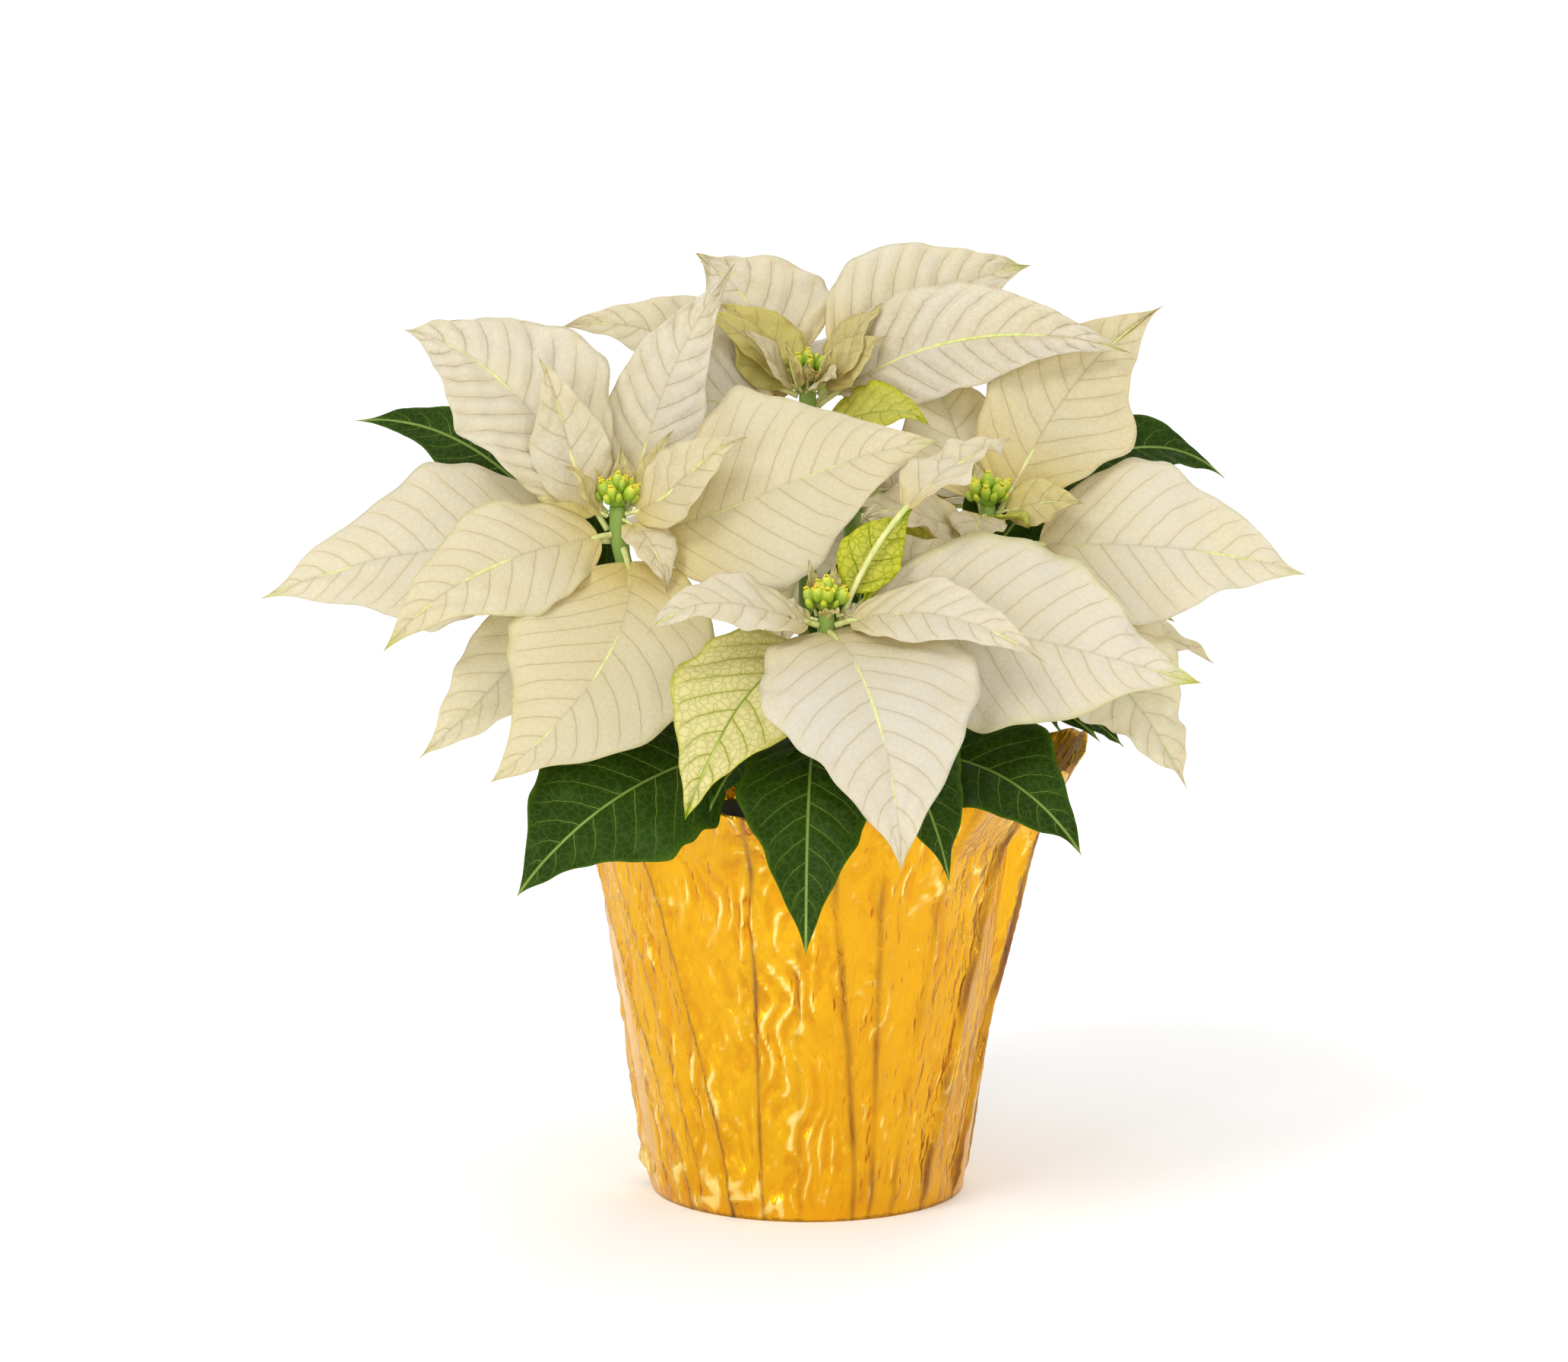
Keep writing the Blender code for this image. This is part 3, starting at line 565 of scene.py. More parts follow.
def blade_grid(spine, total, leaf, touch, rng, rows, columns):
    """Upper and lower skin points, with the tint and the maps of each point."""
    stalk = min(leaf["stalk"], total * 0.5)
    length = total - stalk
    x = np.linspace(0.0, 1.0, rows)
    s = 0.0005 + 0.998 * (0.55 * (0.5 - 0.5 * np.cos(np.pi * x)) + 0.45 * x**1.15)
    across = np.linspace(-1.0, 1.0, columns)
    place, forward, left, up = spine(stalk + length * s, np.full(rows, float(leaf["roll"])))
    half = leaf["width"] / 2
    outline = half_width(s, leaf["belly"]) * half
    s2, v2 = np.meshgrid(s, across, indexing="ij")
    lobes = np.zeros_like(s2)
    for side in (-1.0, 1.0):
        p, q = rng.uniform(0.0, 6.3), rng.uniform(0.0, 6.3)
        wave = np.sin(2 * np.pi * 2.9 * s2 + p) + 0.55 * np.sin(2 * np.pi * 7.1 * s2 + q)
        lobes += np.where(v2 * side > 0, touch["lobes"] * wave, 0.0)
    reach = outline[:, None] * (1 + lobes)
    for side, along, size in touch["corners"]:
        shoulder = size * np.exp(-(((s2 - along) / 0.13) ** 2)) * (outline[:, None] / half)
        reach = reach + np.where(v2 * side > 0, shoulder, 0.0)
    y = v2 * reach
    veins = max(4, round(length / 7.5))
    count = vein_count(s2, y, length, v2, veins)
    side_shift = np.where(v2 < 0, VEIN_SHIFT, 0.0)
    raised = np.abs(y) * math.sin(FOLD) + leaf["bend"] * y * y / half
    raised = raised + lift_of_blade(s2, v2, y, count + side_shift, touch, rng, leaf["width"])
    back = touch["heart"] * half * np.abs(v2) ** 1.7 * (1 - s2) ** 4
    middle = place[:, None] + left[:, None] * (y * math.cos(FOLD))[..., None]
    middle = middle + up[:, None] * raised[..., None] - forward[:, None] * back[..., None]
    skin = (BLADE_THICK / 2 * (1 - 0.6 * v2**2))[..., None] * up[:, None]
    edge = np.abs(v2)
    lime = touch["lime"] * (0.75 + 0.25 * edge) + touch["tip"] * np.clip((s2 - 0.87) / 0.11, 0.0, 1.0) ** 1.3
    lime = lime + touch["margin"] * np.clip((edge - 0.86) / 0.14, 0.0, 1.0) ** 1.6
    # warm tint: partly the leaf's own warm colour, partly painted warm shade, most at the blade's base near
    # the cluster
    warm = touch["warm"] + touch["root"] * np.clip(1 - s2 / 0.38, 0.0, 1.0) ** 1.5
    tint = np.stack([np.clip(lime, 0, 1), np.clip(warm, 0, 1), np.full_like(s2, touch["veins"])], -1)
    maps = np.stack([s2, (v2 + 1) / 2, count, np.abs(y) / 10.0], -1)
    return middle + skin, middle - skin, tint, maps


print("a blade is", BLADE_THICK, "mm thick along its midrib")

# %% Stalk and rib
STALK_SIDES = 8


def stalk_tube(spine, total, leaf, slim):
    """Round stalk that runs on as a thinning rib under the blade."""
    stalk = min(leaf["stalk"], total * 0.5)
    arcs = np.concatenate([np.linspace(0.0, stalk, 9)[:-1], np.linspace(stalk, total * 0.965, 26)])
    on_blade = np.clip((arcs - stalk) / (total - stalk), 0.0, 1.0)
    rolls = leaf["roll"] * np.clip(arcs / max(stalk, 1.0), 0.0, 1.0)
    radii = slim * STALK_RADIUS * np.where(on_blade > 0, 0.8 * (1 - on_blade) ** 0.8 + 0.1, 0.86)
    radii = radii + slim * 0.14 * np.exp(-arcs / 1.2)
    place, _, left, up = spine(arcs, rolls)
    place = place - up * ((radii + 0.12) * np.clip(on_blade / 0.03, 0.0, 1.0)).reshape(-1, 1)
    angles = 2 * np.pi * np.arange(STALK_SIDES) / STALK_SIDES
    ring = left[:, None] * np.cos(angles)[None, :, None] + up[:, None] * np.sin(angles)[None, :, None]
    return place[:, None] + ring * radii[:, None, None]


def wall_faces(rings, sides, first=0):
    """Quads between rings that lie one after another from the vertex first."""
    faces = []
    for k in range(rings - 1):
        for j in range(sides):
            low, next_low = first + k * sides + j, first + k * sides + (j + 1) % sides
            faces.append((low, next_low, next_low + sides, low + sides))
    return faces


def tube_faces(rings, sides, first):
    """Quads of a tube, with closed ends."""
    faces = wall_faces(rings, sides, first)
    faces.append(tuple(first + j for j in reversed(range(sides))))
    faces.append(tuple(first + (rings - 1) * sides + j for j in range(sides)))
    return faces


print("a stalk has", STALK_SIDES, "sides and is", 2 * STALK_RADIUS, "mm thick")

# %% Put a leaf together
BLADE_ROWS, BLADE_COLUMNS = 84, 27


def skin_faces(rows, columns):
    """Quads of the upper skin, the lower skin and the rim between them."""
    count = rows * columns
    top, bottom, rim = [], [], []
    for i in range(rows - 1):
        for j in range(columns - 1):
            a = i * columns + j
            top.append((a, a + columns, a + columns + 1, a + 1))
            bottom.append((count + a, count + a + 1, count + a + columns + 1, count + a + columns))
    border = list(range(columns))
    border += [i * columns + columns - 1 for i in range(1, rows)]
    border += [(rows - 1) * columns + j for j in reversed(range(columns - 1))]
    border += [i * columns for i in reversed(range(1, rows - 1))]
    for a, b in zip(border, border[1:] + border[:1]):
        rim.append((a, b, count + b, count + a))
    return top, bottom, rim


def leaf_mesh(name, leaf, touch, seed, rows=BLADE_ROWS, columns=BLADE_COLUMNS, slim=1.0):
    """Whole leaf: blade, stalk and rib. slim makes the stalk thinner."""
    rng = random.Random(seed)
    spine, total = leaf_spine(leaf)
    upper, lower, tint, maps = blade_grid(spine, total, leaf, touch, rng, rows, columns)
    tube = stalk_tube(spine, total, leaf, slim)
    points = np.concatenate([upper.reshape(-1, 3), lower.reshape(-1, 3), tube.reshape(-1, 3)])
    top, bottom, rim = skin_faces(rows, columns)
    blade_faces = len(top) + len(bottom) + len(rim)
    faces = top + bottom + rim + tube_faces(tube.shape[0], STALK_SIDES, 2 * rows * columns)
    mesh = new_mesh(name, points, faces)
    mesh.polygons.foreach_set("material_index", [0] * blade_faces + [1] * (len(faces) - blade_faces))
    on_tube = (tube[..., 0].size, 1)
    flat_maps = np.concatenate([maps.reshape(-1, 4)] * 2 + [np.tile([0.0, 0.5, 0.5, 0.0], on_tube)])
    write_maps(mesh, flat_maps, columns, rows)
    write_tint(mesh, np.concatenate([tint.reshape(-1, 3)] * 2 + [np.tile([0.2, 0.2, 0.5], on_tube)]))
    shade_smooth(mesh)
    return mesh


def write_maps(mesh, maps, columns, rows):
    """Store the two maps by face corner; the veins of the two halves alternate."""
    corners = np.empty(len(mesh.loops), dtype=int)
    mesh.loops.foreach_get("vertex_index", corners)
    sizes = np.empty(len(mesh.polygons), dtype=int)
    mesh.polygons.foreach_get("loop_total", sizes)
    column = np.where(corners < 2 * rows * columns, corners % columns, columns)
    owner = np.repeat(np.arange(len(sizes)), sizes)
    lowest = np.full(len(sizes), columns)
    np.minimum.at(lowest, owner, column)
    shift = np.where(lowest[owner] < (columns - 1) // 2, VEIN_SHIFT, 0.0)
    blade = mesh.uv_layers.new(name="blade")
    veins = mesh.uv_layers.new(name="veins")
    values = maps[corners]
    blade.data.foreach_set("uv", values[:, 0:2].ravel())
    values[:, 2] += shift + 5.0
    veins.data.foreach_set("uv", values[:, 2:4].ravel())


def write_tint(mesh, colours):
    """Store a colour for each vertex."""
    layer = mesh.color_attributes.new(name="tint", type="FLOAT_COLOR", domain="POINT")
    layer.data.foreach_set("color", np.column_stack([colours, np.ones(len(colours))]).ravel())


print("a full blade has", sum(map(len, skin_faces(BLADE_ROWS, BLADE_COLUMNS))), "faces")

# %% Show the leaves
FIELDS = "drop heading reach lift rise fall swing stalk width roll bend belly".split()


def show_leaf(name, cluster, finish, row, node=None, **detail):
    """Make one leaf from its row. The letters of its name seed its ruffles, so each leaf keeps its own."""
    leaf = dict(USUAL_SHAPE, cluster=cluster, **dict(zip(FIELDS, row)))
    seed = sum(ord(letter) * (k + 7) for k, letter in enumerate(name))
    mesh = leaf_mesh(name, leaf, touches_for(name, finish), seed, **detail)
    finish_piece(name + "_skin", mesh, (leaf_looks[finish], stalk_looks[finish]), node)


for cluster, kinds in LEAVES.items():
    for kind, rows in kinds.items():
        for k, (colour, *row) in enumerate(rows, 1):
            name = f"{kind}_{cluster}_{k}"
            show_leaf(name, cluster, f"{kind}_{colour}", row, name)
    print(cluster, "branch:", sum(map(len, kinds.values())), "leaves")

# %% [markdown]
# ## Young bracts round the flower cups
#
# Right beside the cups sit narrow young bracts, from five millimetres to a few centimetres long. They have
# no solid of their own, like three small leaves behind the lower edge of the plant, so they are added here
# only. They use the same leaf function with fewer points and thinner stalks, and most of them have warmer,
# yellower tints: partly because they are still green-gold inside, partly as painted warm shade deep among
# the cups and the larger bracts.

# %% Rows of young bracts
# kind, drop, heading, reach, lift, rise, fall, swing, stalk, width, roll
YOUNG = {
    "left": [
        ("gold", 3.0, 169, 33, 20, 24, 6, 0, 3, 19, -62),
        ("pale", 2.0, 337, 41, 24, 14, 14, 0, 3, 24, 62),
        ("pale", 3.5, 306, 25, -19, -8, -84, 0, 4, 16, 6),
        ("gold", 1.5, 20, 17, 23, 44, 44, 0, 2, 9, 40),
        ("gold", 1.5, 76, 5, 19, 70, 84, 0, 2, 7, 20),
        ("gold", 2.5, 202, 16, 15, 20, 12, 0, 2, 9, -50),
    ],
    "front": [
        ("gold", 2.0, 142, 6, 16, 66, 84, 0, 2, 7, 0),
        ("gold", 2.0, 67, 6, 15, 70, 80, 0, 2, 7, 0),
        ("gold", 1.5, 275, 12, 3, 30, 10, 0, 2, 6, 0),
        ("pale", 2.5, 201, 17, 3, 14, -16, 0, 2, 9, -40),
        ("pale", 4.0, 23, 40, 21, 34, 10, 0, 17, 20, 40),
        ("pale", 1.5, 350, 12, 0, 16, -10, 0, 2, 8, 40),
        ("green", 34.0, 235, 55, -18, 5, -50, 0, 12, 26, -10),
        ("olive_lime", 3.0, 24, 27, 31, 62, 40, 0, 9, 19, 50),
    ],
    "right": [
        ("pale", 3.5, 241, 16, -10, -20, -86, 0, 3, 12, 0),
        ("pale", 2.5, 255, 21, -9, 6, -70, 0, 3, 17, -10),
        ("gold", 2.0, 340, 29, 4, 16, -8, 0, 3, 16, 60),
        ("lime", 3.0, 310, 18, -2, 0, -70, 0, 2, 10, 0),
        ("pale", 2.5, 33, 26, 14, 34, 14, 0, 3, 16, 30),
        ("gold", 1.5, 112, 11, 15, 60, 80, 0, 2, 9, 0),
        ("green", 58.0, 335, 60, -8, 10, -45, 0, 12, 17, 34),
        ("lime", 30.0, 352, 48, -25, -10, -60, 0, 10, 14, 30),
    ],
    "crown": [
        ("gold", 3.0, 349, 22, 27, 50, 44, 0, 3, 20, 40),
        ("gold", 2.0, 333, 26, 17, 30, 22, 0, 3, 16, 60),
        ("olive", 2.5, 184, 26, 26, 44, 26, 0, 3, 25, -62),
        ("pale", 2.0, 219, 25, 19, 24, 20, 0, 3, 13, -50),
        ("gold", 1.5, 269, 10, 9, 60, 80, 0, 2, 7, 0),
        ("pale", 2.0, 292, 22, 5, 20, -20, 0, 2, 12, 40),
        ("gold", 2.5, 236, 11, 16, 50, 70, 0, 2, 9, -30),
        ("gold", 2.5, 305, 12, 14, 50, 66, 0, 2, 9, 30),
        ("olive", 2.0, 198, 37, 26, 45, 20, 0, 4, 12, -50),
    ],
    "rear": [
        ("pale", 2.0, 20, 24, 14, 34, 14, 0, 3, 14, 30),
        ("pale", 2.0, 150, 22, 15, 40, 16, 0, 3, 14, -30),
        ("gold", 2.5, 262, 20, 16, 46, 30, 0, 3, 12, 0),
        ("gold", 1.5, 80, 18, 9, 30, 10, 0, 2, 10, 0),
        ("pale", 3.0, 215, 26, 6, 26, -6, 0, 3, 14, -30),
    ],
}
# warm and root tints of the young bracts: partly their own colour, partly painted warm shade deep among the
# cups
PALE_TOUCH = dict(USUAL, quilt=0.5, ruffle=1.1, warm=0.38, root=0.8, veins=0.5, tip=0.1, crumple=0.9)
KINDS = {
    "pale": ("bract_cream", PALE_TOUCH),
    "gold": ("bract_cream", dict(PALE_TOUCH, warm=0.8, lime=0.15, veins=0.7)),
    "olive": ("bract_cream", dict(PALE_TOUCH, warm=1.0, lime=0.35, veins=0.7)),
    "lime": ("bract_lime", dict(LIME_USUAL, lime=0.7)),
    "olive_lime": ("bract_lime", dict(LIME_USUAL, lime=1.0, margin=0.1, veins=1.8, quilt=1.6)),
    "green": ("leaf_green", GREEN_USUAL),
}

SHORT = dict(rows=40, columns=13, slim=0.55)
LONG = dict(rows=64, columns=21, slim=0.9)
LONG_REACH = 40
YOUNG_BEND, YOUNG_BELLY = 0.0, 0.4

for cluster, rows in YOUNG.items():
    for k, (kind, *row) in enumerate(rows, 1):
        name = f"young_bract_{cluster}_{k}"
        finish, TOUCHES[name] = KINDS[kind]
        detail = LONG if row[2] >= LONG_REACH else SHORT
        show_leaf(name, cluster, finish, (*row, YOUNG_BEND, YOUNG_BELLY), **detail)
print(sum(len(rows) for rows in YOUNG.values()), "young bracts")

# %% [markdown]
# ## Flower cups
#
# The true flowers are the green cups in the middle of each whorl. One cup is a small egg with an open,
# toothed mouth, a few yellow threads in it and a yellow lip on one side. A turned profile makes the egg,
# scaled and leaned outward for each place in the cluster, and a colour attribute turns it from green to
# gold at the mouth.

# %% Cup finish
cup_look = Finish("flower_cup", Roughness=0.38, Specular_IOR_Level=0.5)
cup_tint = cup_look.add("Attribute", attribute_name="tint").outputs["Color"]
cup_spots = cup_look.step(cup_look.cloud(700.0, 2.0), 0.35, 0.7, 0.0, 0.35)
cup_look.wire(
    Base_Color=cup_look.blend(cup_spots, cup_tint, (0.45, 0.60, 0.05)),
    Normal=cup_look.bump(cup_look.cloud(1500.0, 2.0), 0.0001, 0.4),
    Subsurface_Weight=0.15,
    Subsurface_Radius=(0.002, 0.002, 0.0005),
)

CUP_GREEN = (0.13, 0.27, 0.01)
CUP_LIGHT = (0.42, 0.55, 0.03)
CUP_GOLD = (0.80, 0.66, 0.04)
CUP_RED = (0.80, 0.42, 0.02)

# radius and height of a cup's profile, as shares of its own radius and length, and how golden it is there
CUP_PROFILE = [
    (0.22, -1.0, 0.1), (0.62, -0.86, 0.05), (0.92, -0.5, 0.0), (1.0, -0.1, 0.05), (0.95, 0.3, 0.15),
    (0.76, 0.66, 0.4), (0.55, 0.86, 0.75), (0.5, 0.96, 1.0), (0.38, 0.9, 0.9), (0.3, 0.6, 0.5),
]
print("points of a cup's profile:", len(CUP_PROFILE))

# %% Build the cups
CUP_SIDES = 16
BEAD_SIDES = 8
BEAD_RINGS = 5


def turns(count):
    """Angles of so many even steps round a circle."""
    return [2 * math.pi * k / count for k in range(count)]


def mixed(first, second, share):
    return tuple(a + (b - a) * share for a, b in zip(first, second))


def add_rings(points, colours, faces, rings, tints):
    """Append a closed body of equal rings, with one colour for each ring."""
    first, sides = len(points), len(rings[0])
    for ring, tint in zip(rings, tints):
        points.extend(ring)
        colours.extend([tint] * sides)
    faces.extend(tube_faces(len(rings), sides, first))


def add_cup(parts, centre, lean, radius, length, ripe):
    """One cup; lean is the rotation that tips it outward."""
    rings, tints = [], []
    for share, height, gold in CUP_PROFILE:
        ring = []
        for a in turns(CUP_SIDES):
            r = radius * share * (1 + 0.05 * math.cos(5 * a))
            ring.append(centre + lean @ Vector((r * math.cos(a), r * math.sin(a), length * height)))
        rings.append(ring)
        tints.append(mixed(mixed(CUP_GREEN, CUP_LIGHT, 0.3 + 0.5 * gold), CUP_GOLD, gold * ripe))
    add_rings(*parts, rings, tints)


def add_bead(parts, centre, radius, tint):
    """Small round ball."""
    rings = []
    for k in range(BEAD_RINGS):
        pitch = math.radians(-72 + 36 * k)
        flat, height = radius * math.cos(pitch), radius * math.sin(pitch)
        rings.append([
            centre + Vector((flat * math.cos(a), flat * math.sin(a), height)) for a in turns(BEAD_SIDES)
        ])
    add_rings(*parts, rings, [tint] * BEAD_RINGS)


def cluster_mesh(name, place, turn, rng):
    """Cushion, a cup in the middle, a ring of cups with buds between them, and an inner ring."""
    parts = ([], [], [])
    add_bead(parts, Vector((0.0, 0.0, 2.6)), 3.3, CUP_GREEN)
    # distance out, angle, height, radius and length of each cup
    spots = [(0.0, 0.0, 6.9, 2.0, 2.8)]
    for k in range(7):
        a = 2 * math.pi * (k + rng.uniform(-0.2, 0.2)) / 7
        spots.append((rng.uniform(3.9, 5.0), a, rng.uniform(3.9, 5.6), rng.uniform(1.45, 2.1), 2.5))
        spots.append((5.3, a + math.pi / 7, rng.uniform(2.2, 3.2), rng.uniform(0.8, 1.2), 1.6))
    for k in range(4):
        spots.append((2.4, 2 * math.pi * (k + 0.4) / 4, rng.uniform(5.6, 6.8), rng.uniform(1.1, 1.6), 2.1))
    for out, a, height, radius, length in spots:
        centre = Vector((out * math.cos(a), out * math.sin(a), height))
        tip = math.radians(7.5 * out + rng.uniform(-6, 6))
        lean = Matrix.Rotation(tip, 3, Vector((-math.sin(a), math.cos(a), 0.0)))
        ripe = rng.choice((0.25, 0.6, 1.0))
        add_cup(parts, centre, lean, radius * rng.uniform(0.92, 1.06), length, ripe)
        mouth = centre + lean @ Vector((0.0, 0.0, length * 0.95))
        if radius > 1.3:
            for b in (a + quarter for quarter in turns(4)):
                thread = mouth + Vector((0.5 * math.cos(b), 0.5 * math.sin(b), rng.uniform(0.1, 0.7)))
                add_bead(parts, thread, 0.34, CUP_RED if rng.random() < 0.15 else CUP_GOLD)
        if radius > 1.9 and ripe > 0.5:
            lip = centre + lean @ Vector((radius * 0.75, 0.0, length * 0.45))
            add_bead(parts, lip, 0.85, CUP_GOLD)
    points, colours, faces = parts
    turned = Matrix.Rotation(math.radians(turn), 3, "Z")
    mesh = new_mesh(name, [turned @ p + Vector(place) for p in points], faces)
    write_tint(mesh, colours)
    shade_smooth(mesh)
    return mesh


for k, (cluster, place) in enumerate(CLUSTERS.items()):
    mesh = cluster_mesh("cups_" + cluster, place, 23.0 * k, random.Random(40 + k))
    finish_piece("cups_" + cluster, mesh, (cup_look,), "cyathia_" + cluster)
print("flower clusters:", len(CLUSTERS))

# %% [markdown]
# ## Stem
#
# The stem is one trunk that forks into five branches. Rings of points along each branch give a tube that
# can swell a little wherever a leaf joins, which a plain curve with a bevel can't do. Its finish runs from
# grey-brown near the soil to fresh green at the top, driven by height.

# %% Stem finish
stem_look = Finish("stem_bark", Roughness=0.6, Specular_IOR_Level=0.35)
stem_height = stem_look.add("SeparateXYZ", {"Vector": stem_look.place()}).outputs[2]
stem_grain = stem_look.cloud(420.0, 4.0, (1.0, 1.0, 0.25))
stem_woody = stem_look.sum("ADD", stem_height, stem_look.sum("MULTIPLY", stem_grain, 0.03))
stem_fresh = stem_look.step(stem_woody, 0.118, 0.155)
stem_colour = stem_look.blend(stem_fresh, (0.15, 0.11, 0.05), (0.20, 0.30, 0.05))
stem_fleck = stem_look.step(stem_grain, 0.5, 0.72, 0.0, 0.6)
stem_colour = stem_look.blend(stem_fleck, stem_colour, (0.30, 0.36, 0.12))
stem_look.wire(Base_Color=stem_colour, Normal=stem_look.bump(stem_grain, 0.0005, 0.7))
print("stem finish:", len(stem_look.tree.nodes), "nodes")

# %% Build the stem
def tube_rings(points, radii, sides=14):
    """Rings square to a path; each starts on the same side of it."""
    rings = []
    for k, point in enumerate(points):
        ahead = points[min(k + 1, len(points) - 1)] - points[max(k - 1, 0)]
        ahead = ahead / np.linalg.norm(ahead)
        side = np.cross(ahead, (0.0, 1.0, 0.0))
        side /= np.linalg.norm(side)
        other = np.cross(ahead, side)
        rings.append([
            Vector(point + radii[k] * (side * math.cos(a) + other * math.sin(a))) for a in turns(sides)
        ])
    return rings


def add_body(points, faces, bm):
    """Append the points and faces of a bmesh to lists, and free it."""
    first = len(points)
    bm.verts.index_update()
    points.extend(vertex.co.copy() for vertex in bm.verts)
    faces.extend(tuple(first + vertex.index for vertex in face.verts) for face in bm.faces)
    bm.free()


TRUNK_FOOT = np.array([0.0, 0.0, 84.0])
TRUNK_RINGS = 14
BRANCH_RINGS = 70


def stem_mesh():
    """Trunk, five branches that swell at each leaf, and a knuckle at the fork."""
    parts = ([], [], [])
    trunk = [TRUNK_FOOT + (FORK - TRUNK_FOOT) * t for t in np.linspace(0.0, 1.0, TRUNK_RINGS)]
    radii = [4.9 - 0.5 * k / (TRUNK_RINGS - 1) + 0.22 * math.sin(2.1 * k) for k in range(TRUNK_RINGS)]
    add_rings(*parts, tube_rings(trunk, radii, 20), [CUP_GREEN] * TRUNK_RINGS)
    for cluster, kinds in LEAVES.items():
        steps = np.linspace(0.0, 1.0, BRANCH_RINGS)
        points, _ = bezier(branch_controls(cluster), steps)
        drops = [row[1] for rows in kinds.values() for row in rows]
        radii = []
        for t, point in zip(steps, points):
            below = CLUSTERS[cluster][2] - point[2]
            joints = sum(math.exp(-(((below - drop) / 1.3) ** 2)) for drop in drops)
            radii.append(branch_radius(t) + 0.22 * min(joints, 1.5))
        add_rings(*parts, tube_rings(list(points), radii), [CUP_GREEN] * BRANCH_RINGS)
    points, _, faces = parts
    bm = bmesh.new()
    ball = bmesh.ops.create_icosphere(bm, subdivisions=4, radius=5.2, matrix=Matrix.Translation(FORK))
    for vertex in ball["verts"]:
        vertex.co += (vertex.co - Vector(FORK)).normalized() * 0.5 * noise.noise(vertex.co * 0.35)
    add_body(points, faces, bm)
    mesh = new_mesh("stem_skin", points, faces)
    shade_smooth(mesh)
    return mesh


stem_piece = finish_piece("stem_skin", stem_mesh(), (stem_look,), "stem")
print("stem:", len(stem_piece.data.vertices), "points")

# %% [markdown]
# ## Foil wrap
#
# Gift foil is a thin gold film, pressed round the pot in flat panels that overlap, with fine embossed
# wrinkles
# all over. A cloth simulation would not give such sharp folds, so the wall is a fine grid bent round the pot:
# each overlap is a step in its radius that fades out across the panel. The shade where one panel's edge lies
# on the next is painted into the colour as a dark line with a fainter band beside it, and so is the shadow
# of the loose edge on the right. The wrinkles are upright strokes, a wave counted round the pot and bent by
# noise, with finer ridges between them, and with painted highlights on their crests and painted shade in
# their valleys. Above the rim the sheet flares into a ragged collar.

# %% Helpers for rough surfaces
def clamp(value):
    """Hold a number between 0 and 1."""
    return min(max(value, 0.0), 1.0)


def hills(x, y, z=0.0, scale=1.0):
    """Smooth noise at a point, from about -1 to 1."""
    return noise.noise(Vector((x, y, z)) * scale)


def ridged(x, y, z):
    """Noise with sharp crests, from about -1 to 1."""
    return 1.0 - 2.6 * abs(hills(x, y, z)) ** 0.85


walk = [hills(0.3 * k, 0.0) for k in range(200)]
print("hills along a line reach from", round(min(walk), 2), "to", round(max(walk), 2))

# %% Foil overlaps
# heading of each overlap in degrees from the front, at the top and at the bottom, with the height of the step
OVERLAPS = [
    (-47, -28, 2.2), (-80, -47, 1.8), (-15, -16, 1.3), (-3, -3, 0.6), (6, 16, 1.3), (19, 22, 1.1),
    (39, 31, 0.7), (61, 45, 1.7), (-64, -40, 0.8), (84, 66, 1.6), (104, 92, 1.2), (123, 128, 1.8),
    (146, 150, 1.1), (163, 171, 1.9), (-170, -164, 1.2), (-150, -140, 1.8), (-128, -118, 1.1),
    (-103, -88, 1.9),
]
PANEL_FOOT, PANEL_TOP = 12.0, 108.0
# the loose edge on the right: its heading, where it starts to stand off the pot and by how much at the top
FLAP_FRONT = 70.0
FLAP_HEIGHTS = (58.0, 106.0)
FLAP_LIFT = 5.0


def collar_rise(angle):
    """Height of the ragged collar edge above its mean, by angle round the pot."""
    waves = 3.5 * math.sin(5 * angle + 0.6) + 2.5 * math.sin(2 * angle + 2.2) + 2.0 * math.sin(9 * angle)
    return waves + 1.1 * math.sin(17 * angle + 1.0) + 0.6 * math.sin(31 * angle)


def panels_at(front, height):
    """Radius added by overlapping flat panels, and how dark the painted shade beside the nearest edge is."""
    share = clamp((height - PANEL_FOOT) / (PANEL_TOP - PANEL_FOOT))
    total, dark, before, after = 0.0, 0.0, -60.0, 60.0
    for top, bottom, step in OVERLAPS:
        edge = bottom + (top - bottom) * share + 0.8 * hills(height * 0.05, top)
        gap = (front - edge + 180.0) % 360.0 - 180.0
        # painted shade along each overlap: a dark line on the edge and a fainter band fading beside it
        deep = clamp((0.55 + 0.9 * hills(height * 0.05, top, 7.0)) * step * 0.75)
        line = math.exp(-((gap / (0.7 + 0.16 * step)) ** 2))
        dark = max(dark, line * deep, 0.22 * math.exp(-abs(gap) / 2.6) * deep)
        rise = clamp((gap + 0.9) / 1.8)
        rise = rise * rise * (3 - 2 * rise)
        tucked = 0.4 * (1 - rise) * math.exp(min(gap, 0.0) / 1.5)
        total += step * (rise * math.exp(-max(gap, 0.0) / 7.0) - tucked)
        if gap >= 0.0:
            before = max(before, -gap)
        else:
            after = min(after, -gap)
    half = min(after - before, 24.0) / 2
    off = min(abs(-before - half), half)
    flat = -0.008 * (half * half - off * off)
    return total + flat + 0.4, dark


